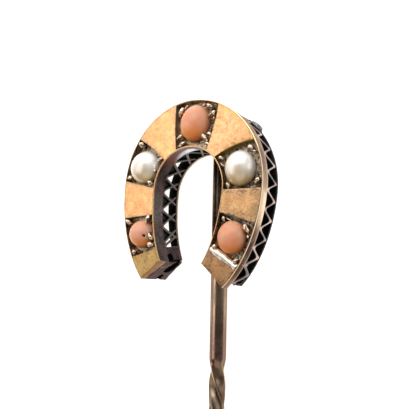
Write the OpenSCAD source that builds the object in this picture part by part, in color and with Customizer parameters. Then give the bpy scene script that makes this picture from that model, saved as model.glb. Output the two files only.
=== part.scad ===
// Horseshoe stick pin, lying on its back.
// The head is worked out standing: X right, Y to the back, Z up, with the origin at the widest
// level of the outline, on the front face's inner edge. Then head and stem are laid down together.

/* [Horseshoe outline] */
// Width across the outer edges
head_w = 10.1; // [8:0.1:12]
// Height of the arch above the widest level
rise = 5.55; // [5:0.05:6.2]
// Half height of the ellipse that the outer edge of the legs follows
leg_curve = 7.75; // [7:0.05:8.5]
// Width of the opening
open_w = 4.95; // [4.2:0.05:5.4]
// Height of the opening's arch above its own widest level
open_rise = 2.65; // [2.3:0.05:3]
// Half height of the ellipse that the opening's legs follow
open_curve = 5.85; // [5.4:0.05:6.3]
// How far the opening's widest level lies below that of the outer edge
open_drop = 0.28; // [0.1:0.02:0.5]
// Where the legs end, in degrees along the outline from the top
heel_angle = 142.5; // [138:0.5:146]

/* [Front plate] */
// How far the outer edge of the face lies behind the inner edge
face_slope = 0.45; // [0.3:0.05:0.6]
// From the inner edge of the face to the back of the plate, at the outer wall
plate_d = 1.35; // [1.25:0.05:1.5]
// How much shallower the plate is at the opening
plate_rise = 0.15; // [0:0.05:0.2]
// Depth of the stone cells
cell_d = 0.5; // [0.35:0.05:0.6]
// Share of the leg's width that each thin rim beside a cell takes
rim_share = 0.045; // [0.035:0.005:0.07]

/* [Gallery and back ring] */
// From the inner edge of the face to the back of the head
head_d = 3.1; // [2.8:0.05:3.4]
// Thickness of the back ring
ring_t = 0.25; // [0.2:0.05:0.35]
// How far the outer wall leans in by the back ring
lean_in = 0.24; // [0.1:0.02:0.4]
// Share of the angle by which the back of the opening's wall stops short at the heels
heel_cut = 0.024; // [0:0.002:0.03]
// How much further the outer wall of the right leg comes down, in degrees
right_heel_draw = 2.2; // [0:0.1:3]
// Width of a strut in the outer wall
outer_strut = 0.13; // [0.1:0.01:0.18]
// Width of a strut in the inner wall
inner_strut = 0.2; // [0.14:0.01:0.24]
// Wall thickness of the gallery
gallery_t = 0.16; // [0.12:0.01:0.25]

/* [Stones] */
// Width of the oval coral at the top
top_coral_w = 1.95; // [1.8:0.05:2.1]
// Height of the oval coral at the top
top_coral_h = 2.4; // [2.1:0.05:2.45]
// Diameter of the half pearl on the left
left_pearl_dia = 2.15; // [1.9:0.05:2.2]
// Width of the half pearl on the right, which is a little oval
right_pearl_w = 1.95; // [1.8:0.05:2.1]
// Height of the half pearl on the right
right_pearl_h = 2.25; // [2:0.05:2.3]
// Diameter of the coral in the left leg
left_coral_dia = 1.75; // [1.6:0.05:1.85]
// Width of the coral in the right leg
right_coral_w = 1.8; // [1.7:0.05:1.95]
// Height of the coral in the right leg
right_coral_h = 2.05; // [1.9:0.05:2.15]
// Height of a stone's dome above its girdle
dome_h = 0.85; // [0.7:0.05:1]
// Gap between a stone and its cell
stone_gap = 0.06; // [0.05:0.01:0.08]
// Diameter of the raised grains that grip the stones
grain_dia = 0.3; // [0.24:0.02:0.34]

/* [Stem] */
// Diameter of the wire
stem_dia = 1.1; // [0.9:0.05:1.2]
// From the inner edge of the face back to the stem's axis, at the widest level
stem_back = 4.3; // [4.1:0.05:4.6]
// How far the head leans back from the stem, in degrees
head_lean = 9; // [7:0.5:11]
// Reach of the stem above the widest level
stem_top = 4.9; // [4.4:0.1:5.1]
// From the widest level down to the twist
twist_from = 10.8; // [9:0.1:12]
// Length of the twist
twist_l = 12.1; // [9:0.1:15]
// Length of one turn of the twist
twist_pitch = 9.3; // [6:0.1:12]
// From the widest level down to the point
stem_down = 56.5; // [48:0.5:62]
// Length of the tapered point
point_l = 5; // [3:0.5:7]

/* [Hidden] */
stem_r = stem_dia / 2;
// Half pitches of the zigzag along the outer wall and along the opening's wall
steps = 48;
inner_steps = 30;
// How deep a soldered piece reaches into the one that carries it
sink = 0.05;
// The slot in the back ring, in shares of the leg's width
slot_from = 0.27;
slot_to = 0.47;
slot_reach = 0.96;
// How far the zigzag stands in from the wall, in shares of the leg's width
strut_inset = 0.012;
// Where the back ring and the gallery end, in shares of the heel's angle
ring_reach = 0.988;
gallery_reach = 0.98;
ring_front = head_d - ring_t;
leg_w = (head_w - open_w) / 2;
// The angle from which the right leg's outer wall is drawn down
draw_from = 131;
// The wall across each leg's end, in degrees along the outline
heel_wall_offset = 0.4;
heel_post = 3.7;
heel_leaf = 2;
heel_leaf_inset = 0.2;
heel_strut = 0.24;
// Oval solder pad on the back
pad_w = 6.4;
pad_h = 1.7;
pad_t = 0.3;
pad_level = 4.2;
pad_back = head_d - sink + pad_t;
pad_step = 10;
// How far the grains stand in from a cell's corners, in shares of its width and length
grain_across = 0.14;
grain_along = 0.1;
// The share of the leg's width at which a stone's middle stands
stone_share = 0.52;
girdle_h = 0.25;
// Half the side of the twisted square, in shares of the wire's radius
square_half = 0.78;
// The turn of that square at the lower end of the twist, in degrees
twist_turn = 12;
point_r = 0.08;

// One row for each stone cell: the angles of its two ends along the outer and the inner edge
cells = [
    // outer from, outer to, inner from, inner to
    [-20, 15.5, -27, 25],
    [-88.5, -58.5, -90.5, -50],
    [57.5, 90, 42, 90],
    [-128, -107.5, -131, -107.5],
    [107, 131, 104, 128.5]
];
cell_outer_from = 0;
cell_outer_to = 1;
cell_inner_from = 2;
cell_inner_to = 3;

// One row for each stone: across from the middle, above the widest level
stone_places = [
    // x, z
    [-0.19, 4.01],
    [-3.62, 1.06],
    [3.42, 1.16],
    [-3.34, -3.28],
    [3.3, -3.19]
];

// The two edges of the horseshoe in the X-Z plane, each half an ellipse above its widest level
// and another below it
function outer_edge(a) = [head_w / 2 * sin(a), (abs(a) < 90 ? rise : leg_curve) * cos(a)];
function inner_edge(a) = [open_w / 2 * sin(a), (abs(a) < 90 ? open_rise : open_curve) * cos(a) - open_drop];

// Lengths along one edge from the top, each with its angle, for even spacing
function edge_point(outer, a) = outer ? outer_edge(a) : inner_edge(a);
function edge_step(outer, a, b) = norm(edge_point(outer, b) - edge_point(outer, a));
function lengths(outer, n = 60) = let (turn = heel_angle / n) [
    for (i = 0, s = 0; i <= n; s = s + edge_step(outer, i * turn, (i + 1) * turn), i = i + 1)
    [s, i * turn]
];
function spaced(outer, n) = let (rows = lengths(outer), whole = rows[len(rows) - 1][0])
    [for (j = [0 : n]) let (s = 2 * j / n - 1) (s < 0 ? -1 : 1) * lookup(abs(s) * whole, rows)];

function face_y(share) = face_slope * share;
function plate_back(share) = plate_d - plate_rise * (1 - share);

// A point of the head: share 0 is on the wall of the opening, 1 on the outer wall, y is its depth.
// Behind the plate the outer wall leans in, and the opening's wall stops short at the heels. The
// right leg's outer wall comes down a little further than the left leg's
function head_point(share, angle, y) = let (
        behind = max(0, y - plate_back(share)) / (ring_front - plate_back(share)),
        drawn = max(0, angle - draw_from) / (heel_angle - draw_from),
        a = angle * (1 - heel_cut * (1 - share) * min(1, behind)) + right_heel_draw * share * drawn,
        i = inner_edge(a),
        o = outer_edge(a),
        lean = lean_in * max(0, y - face_slope) / (head_d - face_slope),
        p = i + (o - i) * share * (1 - lean / norm(o - i))
    ) [p[0], y, p[1]];

// A closed solid through a list of sections that all have the same number of points
module loft(rings) {
    m = len(rings[0]);
    n = len(rings);
    sides = [for (i = [0 : n - 2]) for (j = [0 : m - 1]) each [
        [i * m + j, (i + 1) * m + j, i * m + (j + 1) % m],
        [i * m + (j + 1) % m, (i + 1) * m + j, (i + 1) * m + (j + 1) % m]
    ]];
    first = [for (j = [0 : m - 1]) j];
    last = [for (j = [m - 1 : -1 : 0]) (n - 1) * m + j];
    polyhedron(points = [for (r = rings) each r], faces = concat(sides, [first, last]));
}

// A band of the head between two depths and two shares, along a list of angles
module band(angles, share_a, share_b, y_a, y_b) loft([for (a = angles) [
    head_point(share_a, a, y_a),
    head_point(share_a, a, y_b),
    head_point(share_b, a, y_b),
    head_point(share_b, a, y_a)
]]);

outer_angles = spaced(true, steps);
inner_angles = spaced(false, inner_steps);

module plate_blank() loft([for (a = outer_angles) [
    head_point(0, a, face_y(0)),
    head_point(0, a, plate_back(0)),
    head_point(1, a, plate_back(1)),
    head_point(1, a, face_y(1))
]]);

// The hollow of one stone cell. Its ends run straight across the leg, at the angles in its row
module cell(row, n = 8) {
    from = [row[cell_inner_from], row[cell_outer_from]];
    to = [row[cell_inner_to], row[cell_outer_to]];
    low = rim_share;
    high = 1 - rim_share;
    function angle(u, share) = (from[0] * (1 - share) + from[1] * share) * (1 - u)
        + (to[0] * (1 - share) + to[1] * share) * u;
    loft([for (i = [0 : n]) let (u = i / n) [
        head_point(low, angle(u, low), -1),
        head_point(low, angle(u, low), face_y(low) + cell_d),
        head_point(high, angle(u, high), face_y(high) + cell_d),
        head_point(high, angle(u, high), -1)
    ]]);
}

module plate() difference() {
    plate_blank();
    for (row = cells) cell(row);
}

// A zigzag ribbon in the wall between two shares. Its corners reach into the plate and the ring
module zigzag(angles, share_a, share_b, strut) {
    ends = [for (i = [0, 1]) head_point(share_b, angles[i], ring_front)];
    half_pitch = norm(ends[1] - ends[0]);
    height = ring_front - plate_back(share_a);
    reach = strut / 2 * norm([half_pitch, height]) / half_pitch;
    loft([for (i = [0 : len(angles) - 1]) let (y = i % 2 == 0 ? ring_front : plate_back(share_a)) [
        head_point(share_a, angles[i], y - reach),
        head_point(share_a, angles[i], y + reach),
        head_point(share_b, angles[i], y + reach),
        head_point(share_b, angles[i], y - reach)
    ]]);
}

// The back ring stops a little short of the plate's heels, and has a slot along the middle
module back_ring() difference() {
    band(outer_angles * ring_reach, 0, 1, ring_front, head_d);
    band(outer_angles * ring_reach * slot_reach, slot_from, slot_to, ring_front - ring_t, head_d + ring_t);
}

// The pierced wall across the end of a leg, between two corner posts
module heel_wall(side) {
    wall = side * (heel_angle * gallery_reach + heel_wall_offset);
    post = wall - side * heel_post;
    leaf = [wall - side * heel_leaf, wall - side * heel_leaf_inset];
    posts = side > 0 ? [post, wall] : [wall, post];
    angles = side > 0 ? leaf : [leaf[1], leaf[0]];
    band(posts, 0.02, 0.15, plate_back(0) - sink, ring_front + sink);
    band(posts, 0.88, 0.98, plate_d - sink, ring_front + sink);
    shares = [0.1, 0.36, 0.63, 0.92];
    reach = heel_strut / 2;
    loft([for (i = [0 : len(shares) - 1]) let (y = i % 2 == 0 ? ring_front : plate_d) [
        head_point(shares[i], angles[0], y + reach),
        head_point(shares[i], angles[0], y - reach),
        head_point(shares[i], angles[1], y - reach),
        head_point(shares[i], angles[1], y + reach)
    ]]);
}

module gallery() {
    gallery_share = gallery_t / leg_w;
    zigzag(outer_angles * gallery_reach, 1 - strut_inset - gallery_share, 1 - strut_inset, outer_strut);
    zigzag(inner_angles * gallery_reach, strut_inset, strut_inset + gallery_share, inner_strut);
    for (side = [-1, 1]) heel_wall(side);
}

// Oval pad on the back that the stem is soldered to
module pad() translate([0, pad_back, pad_level]) rotate([90, 0, 0]) linear_extrude(pad_t)
    polygon([for (a = [0 : pad_step : 360 - pad_step]) [pad_w / 2 * cos(a), pad_h / 2 * sin(a)]]);

// Places its children on the sloping face at a stone, with Z straight out of the face
module on_face(i) {
    row = cells[i];
    place = stone_places[i];
    across = outer_edge((row[cell_outer_from] + row[cell_outer_to]) / 2)
        - inner_edge((row[cell_inner_from] + row[cell_inner_to]) / 2);
    out = atan2(across[1], across[0]);
    slope = atan2(face_slope, norm(across));
    translate([place[0], face_y(stone_share), place[1]])
        rotate([0, -out, 0]) rotate([0, 0, slope]) rotate([90, 0, 0]) rotate([0, 0, out]) children();
}

module grain(r, h) rotate_extrude($fn = 24)
    polygon([[0, 0], [r, 0], [r, h - r], [0.8 * r, h - 0.4 * r], [0.4 * r, h], [0, h]]);

// The raised grains stand at the corners of each cell, clear of the stone
module grains(i) {
    row = cells[i];
    r = grain_dia / 2;
    h = cell_d + 2 * sink;
    for (share = [grain_across, 1 - grain_across]) for (u = [grain_along, 1 - grain_along]) {
        from = row[cell_inner_from] * (1 - share) + row[cell_outer_from] * share;
        to = row[cell_inner_to] * (1 - share) + row[cell_outer_to] * share;
        foot = head_point(share, from * (1 - u) + to * u, face_y(share) + h);
        translate(foot) rotate([90, 0, 0]) grain(r, h);
    }
}

// From the head's own axes to the stem's: the stem runs along Z, through the origin
function stem_frame(p) = [
    p[0],
    (p[1] - stem_back) * cos(head_lean) + p[2] * sin(head_lean),
    p[2] * cos(head_lean) - (p[1] - stem_back) * sin(head_lean)
];

// The roll that brings the left of the back down to the surface that the stem lies on
back_edge = concat(
    [for (a = outer_angles) head_point(1, a, head_d)],
    [for (a = [0 : pad_step : 180 - pad_step]) [pad_w / 2 * cos(a), pad_back, pad_level + pad_h / 2 * sin(a)]]
);
roll = min([for (p = back_edge) let (q = stem_frame(p)) if (abs(q[0]) > 2)
    asin(stem_r / norm([q[0], q[1]])) - atan2(q[1], abs(q[0]))]);
function laid_x(q) = q[0] * cos(roll) + q[1] * sin(roll);
front_edge = [for (a = outer_angles) head_point(1, a, face_y(1))];
outline = [for (p = concat(back_edge, front_edge)) stem_frame(p)];
middle_x = (min([for (q = outline) laid_x(q)]) + max([for (q = outline) laid_x(q)])) / 2;
middle_y = (max([for (q = outline) q[2]]) - stem_down) / 2;

module lay_stem() translate([-middle_x, -middle_y, stem_r])
    rotate([0, -roll, 0]) rotate([-90, 0, 0]) children();
module lay_head() lay_stem() rotate([-head_lean, 0, 0]) translate([0, -stem_back, 0]) children();

module stem() {
    twist_to = twist_from + twist_l;
    point_from = stem_down - point_l;
    side = 2 * square_half * stem_r;
    translate([0, 0, -twist_from]) cylinder(h = twist_from + stem_top, r = stem_r, $fn = 48);
    translate([0, 0, -twist_to - sink])
        linear_extrude(twist_l + 2 * sink, twist = 360 * twist_l / twist_pitch, slices = 60)
            rotate(twist_turn) intersection() {
                square(side, center = true);
                circle(r = stem_r, $fn = 24);
            }
    translate([0, 0, -point_from]) cylinder(h = point_from - twist_to, r = stem_r, $fn = 48);
    translate([0, 0, -stem_down]) cylinder(h = point_l, r1 = point_r, r2 = stem_r, $fn = 48);
}

module pin_body() color("goldenrod") {
    lay_head() {
        plate();
        gallery();
        back_ring();
        pad();
        for (i = [0 : len(cells) - 1]) grains(i);
    }
    lay_stem() stem();
}

// A stone: a dome on a short straight girdle that stands on the floor of its cell
module cabochon(w, h) {
    foot = cell_d - stone_gap;
    function profile(n = 6) = concat([[0, -foot], [w / 2, -foot]],
        [for (i = [0 : n - 1]) [w / 2 * cos(i * 90 / n), -girdle_h + dome_h * sin(i * 90 / n)]],
        [[0, dome_h - girdle_h]]);
    if (w == h)
        rotate_extrude($fn = 24) polygon(profile());
    else
        resize([w, h, 0]) rotate_extrude($fn = 24) polygon(profile());
}

module coral_top() color("salmon") lay_head() on_face(0) cabochon(top_coral_w, top_coral_h);
module pearl_left() color("ivory") lay_head() on_face(1) cabochon(left_pearl_dia, left_pearl_dia);
module pearl_right() color("ivory") lay_head() on_face(2) cabochon(right_pearl_w, right_pearl_h);
module coral_left() color("salmon") lay_head() on_face(3) cabochon(left_coral_dia, left_coral_dia);
module coral_right() color("salmon") lay_head() on_face(4) cabochon(right_coral_w, right_coral_h);

pin_body();
coral_top();
pearl_left();
pearl_right();
coral_left();
coral_right();
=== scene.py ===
import bpy
import numpy as np
from mathutils import Matrix


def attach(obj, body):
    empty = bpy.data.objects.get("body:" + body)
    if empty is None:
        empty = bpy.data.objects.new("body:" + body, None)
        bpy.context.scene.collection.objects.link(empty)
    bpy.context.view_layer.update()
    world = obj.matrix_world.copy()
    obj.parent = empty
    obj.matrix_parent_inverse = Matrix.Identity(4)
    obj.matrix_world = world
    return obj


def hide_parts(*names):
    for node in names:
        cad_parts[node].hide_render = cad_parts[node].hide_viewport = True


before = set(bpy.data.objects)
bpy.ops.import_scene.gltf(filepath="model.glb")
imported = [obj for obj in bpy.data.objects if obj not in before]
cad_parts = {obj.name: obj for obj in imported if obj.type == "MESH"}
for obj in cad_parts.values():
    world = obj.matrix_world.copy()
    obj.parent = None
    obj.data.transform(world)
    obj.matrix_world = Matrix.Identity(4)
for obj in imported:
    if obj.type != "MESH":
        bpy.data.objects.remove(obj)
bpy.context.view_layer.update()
print("frame loaded:", len(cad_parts), "nodes")

mm = 0.001

# Sizes of the solids in millimetres. The head is worked out standing: x right, y to the back, z up,
# with the origin at the widest level on the face's inner edge
head = {
    "width": 10.1, "rise": 5.55, "legCurve": 7.75,
    "openWidth": 4.95, "openRise": 2.65, "openCurve": 5.85, "openDrop": 0.28,
    "heelAngle": 142.5, "faceSlope": 0.45, "plateDepth": 1.35, "plateRise": 0.15,
    "cellDepth": 0.5, "rimShare": 0.03, "depth": 3.1, "ringThick": 0.25,
    "leanIn": 0.24, "heelCut": 0.024, "drawFrom": 131, "rightDraw": 2.2,
}
ringFront = head["depth"] - head["ringThick"]

# Stem sizes, and how head and stem lie on the floor
pose = {
    "radius": 0.55, "stemBack": 4.3, "lean": np.radians(9), "roll": np.radians(14.7009),
    "middleX": -0.75034, "middleY": -25.208,
}

# Cell ends in degrees along the outline: outer from, outer to, inner from, inner to
cells = {
    "top": (-20, 15.5, -27, 25),
    "leftPearl": (-88.5, -58.5, -90.5, -50),
    "rightPearl": (57.5, 90, 42, 90),
    "leftCoral": (-128, -107.5, -131, -107.5),
    "rightCoral": (107, 131, 104, 128.5),
}


# Stem axes to the floor: turned by the roll about the stem, which lies along Y
def layDown(points):
    x, y, z = points[..., 0], points[..., 1], points[..., 2]
    cosRoll, sinRoll = np.cos(pose["roll"]), np.sin(pose["roll"])
    return np.stack([
        x * cosRoll + y * sinRoll - pose["middleX"],
        z - pose["middleY"],
        x * sinRoll - y * cosRoll + pose["radius"],
    ], -1) * mm


# Head axes to stem axes: moved back onto the stem and leaned
def headToStem(points):
    x, y, z = points[..., 0], points[..., 1] - pose["stemBack"], points[..., 2]
    cosLean, sinLean = np.cos(pose["lean"]), np.sin(pose["lean"])
    return np.stack([x, y * cosLean + z * sinLean, z * cosLean - y * sinLean], -1)


# Head axes straight to the scene
def placeHead(points):
    return layDown(headToStem(points))


# A direction in head axes, as a unit vector in the scene
def turnHead(direction):
    far = placeHead(np.asarray(direction, float)) - placeHead(np.zeros(3))
    return far / np.linalg.norm(far)


# The matrix of an object with these three axes at this place
def placeMatrix(axes, place):
    matrix = Matrix.Identity(4)
    for column, axis in enumerate((*axes, place)):
        for row in range(3):
            matrix[row][column] = axis[row]
    return matrix


# Camera at the photo's view, given in head axes: turned about the head's upright, dipped and rolled
cameraView = {
    "turn": 30.4, "dip": -5.97, "roll": 5.7,
    "mmPerPixel": 0.0632, "distancePixels": 1200, "imageWidth": 416,
    "aimRight": 14.78, "aimUp": -73.61, "aimHeight": 3.393, "sensor": 36, "clip": (0.001, 10),
}


# Its axes are the head's, turned, dipped and rolled, and the photo's width sets the lens
def makeCamera():
    turn, dip, roll = (np.radians(cameraView[key]) for key in ("turn", "dip", "roll"))
    right = np.array([np.cos(turn), np.sin(turn), 0])
    up = np.array([-np.sin(turn) * np.sin(dip), np.cos(turn) * np.sin(dip), np.cos(dip)])
    back = np.cross(right, up)
    rolledRight = right * np.cos(roll) + up * np.sin(roll)
    rolledUp = up * np.cos(roll) - right * np.sin(roll)
    eye = cameraView["aimRight"] * rolledRight + cameraView["aimUp"] * rolledUp
    eye = (eye + cameraView["distancePixels"] * back) * cameraView["mmPerPixel"]
    eye[2] += cameraView["aimHeight"]
    data = bpy.data.cameras.new("photoCamera")
    data.sensor_fit = "HORIZONTAL"
    data.sensor_width = cameraView["sensor"]
    data.lens = data.sensor_width * cameraView["distancePixels"] / cameraView["imageWidth"]
    data.clip_start, data.clip_end = cameraView["clip"]
    camera = bpy.data.objects.new("photoCamera", data)
    bpy.context.collection.objects.link(camera)
    axes = (turnHead(rolledRight), turnHead(rolledUp), turnHead(back))
    camera.matrix_world = placeMatrix(axes, placeHead(eye))
    bpy.context.scene.camera = camera


makeCamera()
print("camera placed")


# Half an ellipse above the widest level and a longer half below it
def outerEdge(angle):
    a = np.radians(angle)
    height = np.where(np.abs(angle) < 90, head["rise"], head["legCurve"])
    return np.stack([head["width"] / 2 * np.sin(a), height * np.cos(a)], -1)


# The opening's edge, two half ellipses a little lower than the outer ones
def innerEdge(angle):
    a = np.radians(angle)
    height = np.where(np.abs(angle) < 90, head["openRise"], head["openCurve"])
    return np.stack([head["openWidth"] / 2 * np.sin(a), height * np.cos(a) - head["openDrop"]], -1)


# The plate's back, a little less sloped than its face
def plateBack(share):
    return head["plateDepth"] - head["plateRise"] * (1 - share)


# Between the two edges: share 0 is the opening's wall and 1 the outer wall. Behind the face the
# outer wall leans in, and the opening's wall stops short at the heels. The right leg's outer wall
# is drawn a little further down
def headPoint(share, angle, depth):
    share, angle, depth = np.broadcast_arrays(*(np.asarray(v, float) for v in (share, angle, depth)))
    behind = np.clip((depth - plateBack(share)) / (ringFront - plateBack(share)), 0, 1)
    drawn = np.maximum(0, angle - head["drawFrom"]) / (head["heelAngle"] - head["drawFrom"])
    angle = angle * (1 - head["heelCut"] * (1 - share) * behind) + head["rightDraw"] * share * drawn
    inner, outer = innerEdge(angle), outerEdge(angle)
    across = outer - inner
    lean = head["leanIn"] * np.maximum(0, depth - head["faceSlope"]) / (head["depth"] - head["faceSlope"])
    reach = share * (1 - lean / np.linalg.norm(across, axis=-1))
    flat = inner + across * reach[..., None]
    return np.stack([flat[..., 0], depth, flat[..., 1]], -1)


# A point the given depth below the sloping face
def facePoint(share, angle, below):
    return headPoint(share, angle, head["faceSlope"] * np.asarray(share) + below)


# Distance between the two edges at an angle
def legWidth(angle):
    return np.linalg.norm(outerEdge(angle) - innerEdge(angle), axis=-1)


# Angles evenly spaced along an edge by its length
def evenAngles(edge, count):
    angle = np.linspace(-head["heelAngle"], head["heelAngle"], 2001)
    steps = np.linalg.norm(np.diff(edge(angle), axis=0), axis=1)
    length = np.concatenate([[0], np.cumsum(steps)])
    return np.interp(np.linspace(0, length[-1], count), length, angle)


# Quads between neighbouring points of a grid
def gridFaces(rows, columns, wrapColumns=False, wrapRows=False):
    r = np.arange(rows if wrapRows else rows - 1)[:, None]
    c = np.arange(columns if wrapColumns else columns - 1)[None, :]
    rNext, cNext = (r + 1) % rows, (c + 1) % columns
    quads = np.stack(np.broadcast_arrays(
        r * columns + c, rNext * columns + c, rNext * columns + cNext, r * columns + cNext), -1)
    return quads.reshape(-1, 4)


# A profile carried along a path: rows follow the path, columns the closed profile. Open ends are
# closed by one face each. materials has one number for each column, value one for each point
def tube(points, materials=None, value=None, close=False, endSlot=0):
    rows, columns = points.shape[:2]
    quads = gridFaces(rows, columns, True, close)
    slots = np.zeros(len(quads), int)
    if materials is not None:
        slots = np.tile(np.asarray(materials, int), len(quads) // columns)
    ends = [] if close else [list(range(columns))[::-1], [(rows - 1) * columns + i for i in range(columns)]]
    value = np.broadcast_to(0.0 if value is None else value, (rows, columns))
    return {"points": points.reshape(-1, 3), "quads": quads, "slots": slots, "ends": ends,
            "endSlot": endSlot, "value": value.ravel()}


# A raised sheet over a flat one with the same border, sewn together along it
def slab(top, bottom, value=None):
    rows, columns = top.shape[:2]
    quads = gridFaces(rows, columns)
    points = np.concatenate([top.reshape(-1, 3), bottom.reshape(-1, 3)])
    index = np.arange(rows * columns).reshape(rows, columns)
    border = np.zeros((rows, columns), bool)
    border[[0, -1], :] = border[:, [0, -1]] = True
    under = np.where(border, index, index + rows * columns).ravel()
    lower = under[quads][:, ::-1]
    worth = np.zeros(2 * rows * columns)
    if value is not None:
        worth[:rows * columns] = np.asarray(value).ravel()
    return {"points": points, "quads": np.concatenate([quads, lower]), "ends": [], "endSlot": 0,
            "slots": np.zeros(2 * len(quads), int), "value": worth}


# Signed volume: a sum of the corner products of each face's two triangles
def volumeOf(points, quads):
    p = points - points.mean(0)
    a, b, c, d = (p[quads[:, i]] for i in range(4))
    return (np.einsum("ij,ij->i", a, np.cross(b, c)) + np.einsum("ij,ij->i", a, np.cross(c, d))).sum() / 6


# The same sum over end faces, as fans of triangles
def capVolume(points, ends):
    p = points - points.mean(0)
    total = 0
    for end in ends:
        ring = p[end]
        total += np.einsum("ij,ij->i", np.broadcast_to(ring[0], ring[1:-1].shape),
                           np.cross(ring[1:-1], ring[2:])).sum() / 6
    return total


# Joins the shells into one object whose faces all point outwards, and puts it in its place
def buildPiece(name, shells, materials, sharpAngle=40, place=placeHead):
    points, faces, slots, values = [], [], [], []
    start = 0
    for shell in shells:
        placed = place(shell["points"])
        quads, ends = shell["quads"], shell["ends"]
        if volumeOf(placed, quads) + capVolume(placed, ends) < 0:
            quads, ends = quads[:, ::-1], [end[::-1] for end in ends]
        points.append(placed)
        faces += (quads + start).tolist() + [[i + start for i in end] for end in ends]
        slots += shell["slots"].tolist() + [shell["endSlot"]] * len(ends)
        values.append(shell["value"])
        start += len(placed)
    mesh = bpy.data.meshes.new(name)
    mesh.from_pydata(np.concatenate(points).tolist(), [], faces)
    for material in materials:
        mesh.materials.append(material)
    mesh.polygons.foreach_set("material_index", np.array(slots, np.int32))
    # Per-point value: dirt on the panels, painted highlights and painted shade on the other pieces
    dirtAndPaintedLight = mesh.attributes.new("dirtAndPaintedLight", "FLOAT", "POINT")
    dirtAndPaintedLight.data.foreach_set("value", np.concatenate(values).astype(np.float32))
    mesh.validate()
    mesh.shade_smooth()
    mesh.set_sharp_from_angle(angle=np.radians(sharpAngle))
    mesh.update()
    piece = bpy.data.objects.new(name, mesh)
    bpy.context.collection.objects.link(piece)
    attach(piece, "root")
    return piece


# Small hand-made unevenness: three crossed sine waves of the place, in millimetres
def ripple(points, size, wave):
    x, y, z = (points[..., i] * 2 * np.pi / wave for i in range(3))
    return size * (np.sin(x + 1.7 * z) + np.sin(1.3 * z - 0.6 * x + 2) + np.sin(0.8 * y + 1.9 * x + 4)) / 3


# Zero below low, one above high, and a smooth cubic between
def smoothStep(low, high, value):
    t = np.clip((value - low) / (high - low), 0, 1)
    return t * t * (3 - 2 * t)


# Materials. Object coordinates are in metres, so patterns a few tenths of a millimetre across
# have scales of some thousands. These colours are shared by several finishes
shades = {
    "panelPink": (0.71, 0.33, 0.13), "rubbedPink": (0.66, 0.33, 0.14), "rubbedSoil": (0.32, 0.145, 0.09),
    "panelEnd": (0.38, 0.29, 0.21), "wallSoil": (0.20, 0.14, 0.13), "copper": (0.27, 0.125, 0.045),
    "darkMetal": (0.018, 0.016, 0.018), "grime": (0.14, 0.075, 0.06), "stemSoil": (0.15, 0.10, 0.075),
    "recessDark": (0.05, 0.038, 0.03), "olivePanel": (0.56, 0.38, 0.12), "stemShade": (0.035, 0.026, 0.024),
}
# The two stones' colours, the dark painted shade in the drill hole and the black painted shade in the
# heel's recesses
stoneShades = {
    "coral": (0.72, 0.315, 0.165), "coralPale": (0.73, 0.40, 0.265), "amber": (0.84, 0.275, 0.045),
    "coralSpeck": (0.60, 0.16, 0.05), "holeShade": (0.03, 0.012, 0.008), "shadeBlack": (0.004, 0.003, 0.003),
    "pearl": (0.87, 0.85, 0.82), "pearlWarm": (0.84, 0.68, 0.53), "pearlLow": (0.68, 0.49, 0.22),
}


# A node with its settings, and its inputs linked or set
def addNode(tree, kind, inputs={}, **settings):
    node = tree.nodes.new(kind)
    for key, value in settings.items():
        setattr(node, key, value)
    for key, value in inputs.items():
        if hasattr(value, "is_linked"):
            tree.links.new(value, node.inputs[key])
        else:
            node.inputs[key].default_value = value
    return node


# From the first colour to the second by the factor. A colour is a socket or three numbers
def mixColour(tree, factor, first, second):
    node = tree.nodes.new("ShaderNodeMix")
    node.data_type = "RGBA"
    tree.links.new(factor, node.inputs[0])
    for socket, colour in ((node.inputs[6], first), (node.inputs[7], second)):
        if hasattr(colour, "is_linked"):
            tree.links.new(colour, socket)
        else:
            socket.default_value = (*colour, 1)
    return node.outputs[2]


# A smooth step of a value from one range to another
def mapRange(tree, value, low, high, toLow=0.0, toHigh=1.0):
    node = addNode(tree, "ShaderNodeMapRange", interpolation_type="SMOOTHSTEP", inputs={
        "Value": value, "From Min": low, "From Max": high, "To Min": toLow, "To Max": toHigh})
    return node.outputs["Result"]


# An empty node group with its sockets, its two end nodes and the place on the piece
def startGroup(name, inputs, outputs):
    group = bpy.data.node_groups.new(name, "ShaderNodeTree")
    for key, value in inputs.items():
        socket = group.interface.new_socket(name=key, in_out="INPUT", socket_type="NodeSocketFloat")
        socket.default_value = value
    for key in outputs:
        group.interface.new_socket(name=key, in_out="OUTPUT", socket_type="NodeSocketFloat")
    start, end = group.nodes.new("NodeGroupInput"), group.nodes.new("NodeGroupOutput")
    return group, start, end, addNode(group, "ShaderNodeTexCoord").outputs["Object"]


# Old patina: broad cloudy patches and small specks, as a mask each
def makePatinaGroup():
    group, start, end, place = startGroup(
        "oldPatina", {"Patch Scale": 900.0, "Speck Scale": 5200.0}, ("Patches", "Specks"))
    broad = addNode(group, "ShaderNodeTexNoise", inputs={
        "Vector": place, "Scale": start.outputs["Patch Scale"], "Detail": 4.0, "Roughness": 0.62,
        "Distortion": 0.6})
    fine = addNode(group, "ShaderNodeTexNoise", inputs={
        "Vector": place, "Scale": start.outputs["Speck Scale"], "Detail": 2.0, "Roughness": 0.55})
    group.links.new(mapRange(group, broad.outputs["Fac"], 0.38, 0.66), end.inputs["Patches"])
    group.links.new(mapRange(group, fine.outputs["Fac"], 0.44, 0.70), end.inputs["Specks"])
    return group


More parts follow.
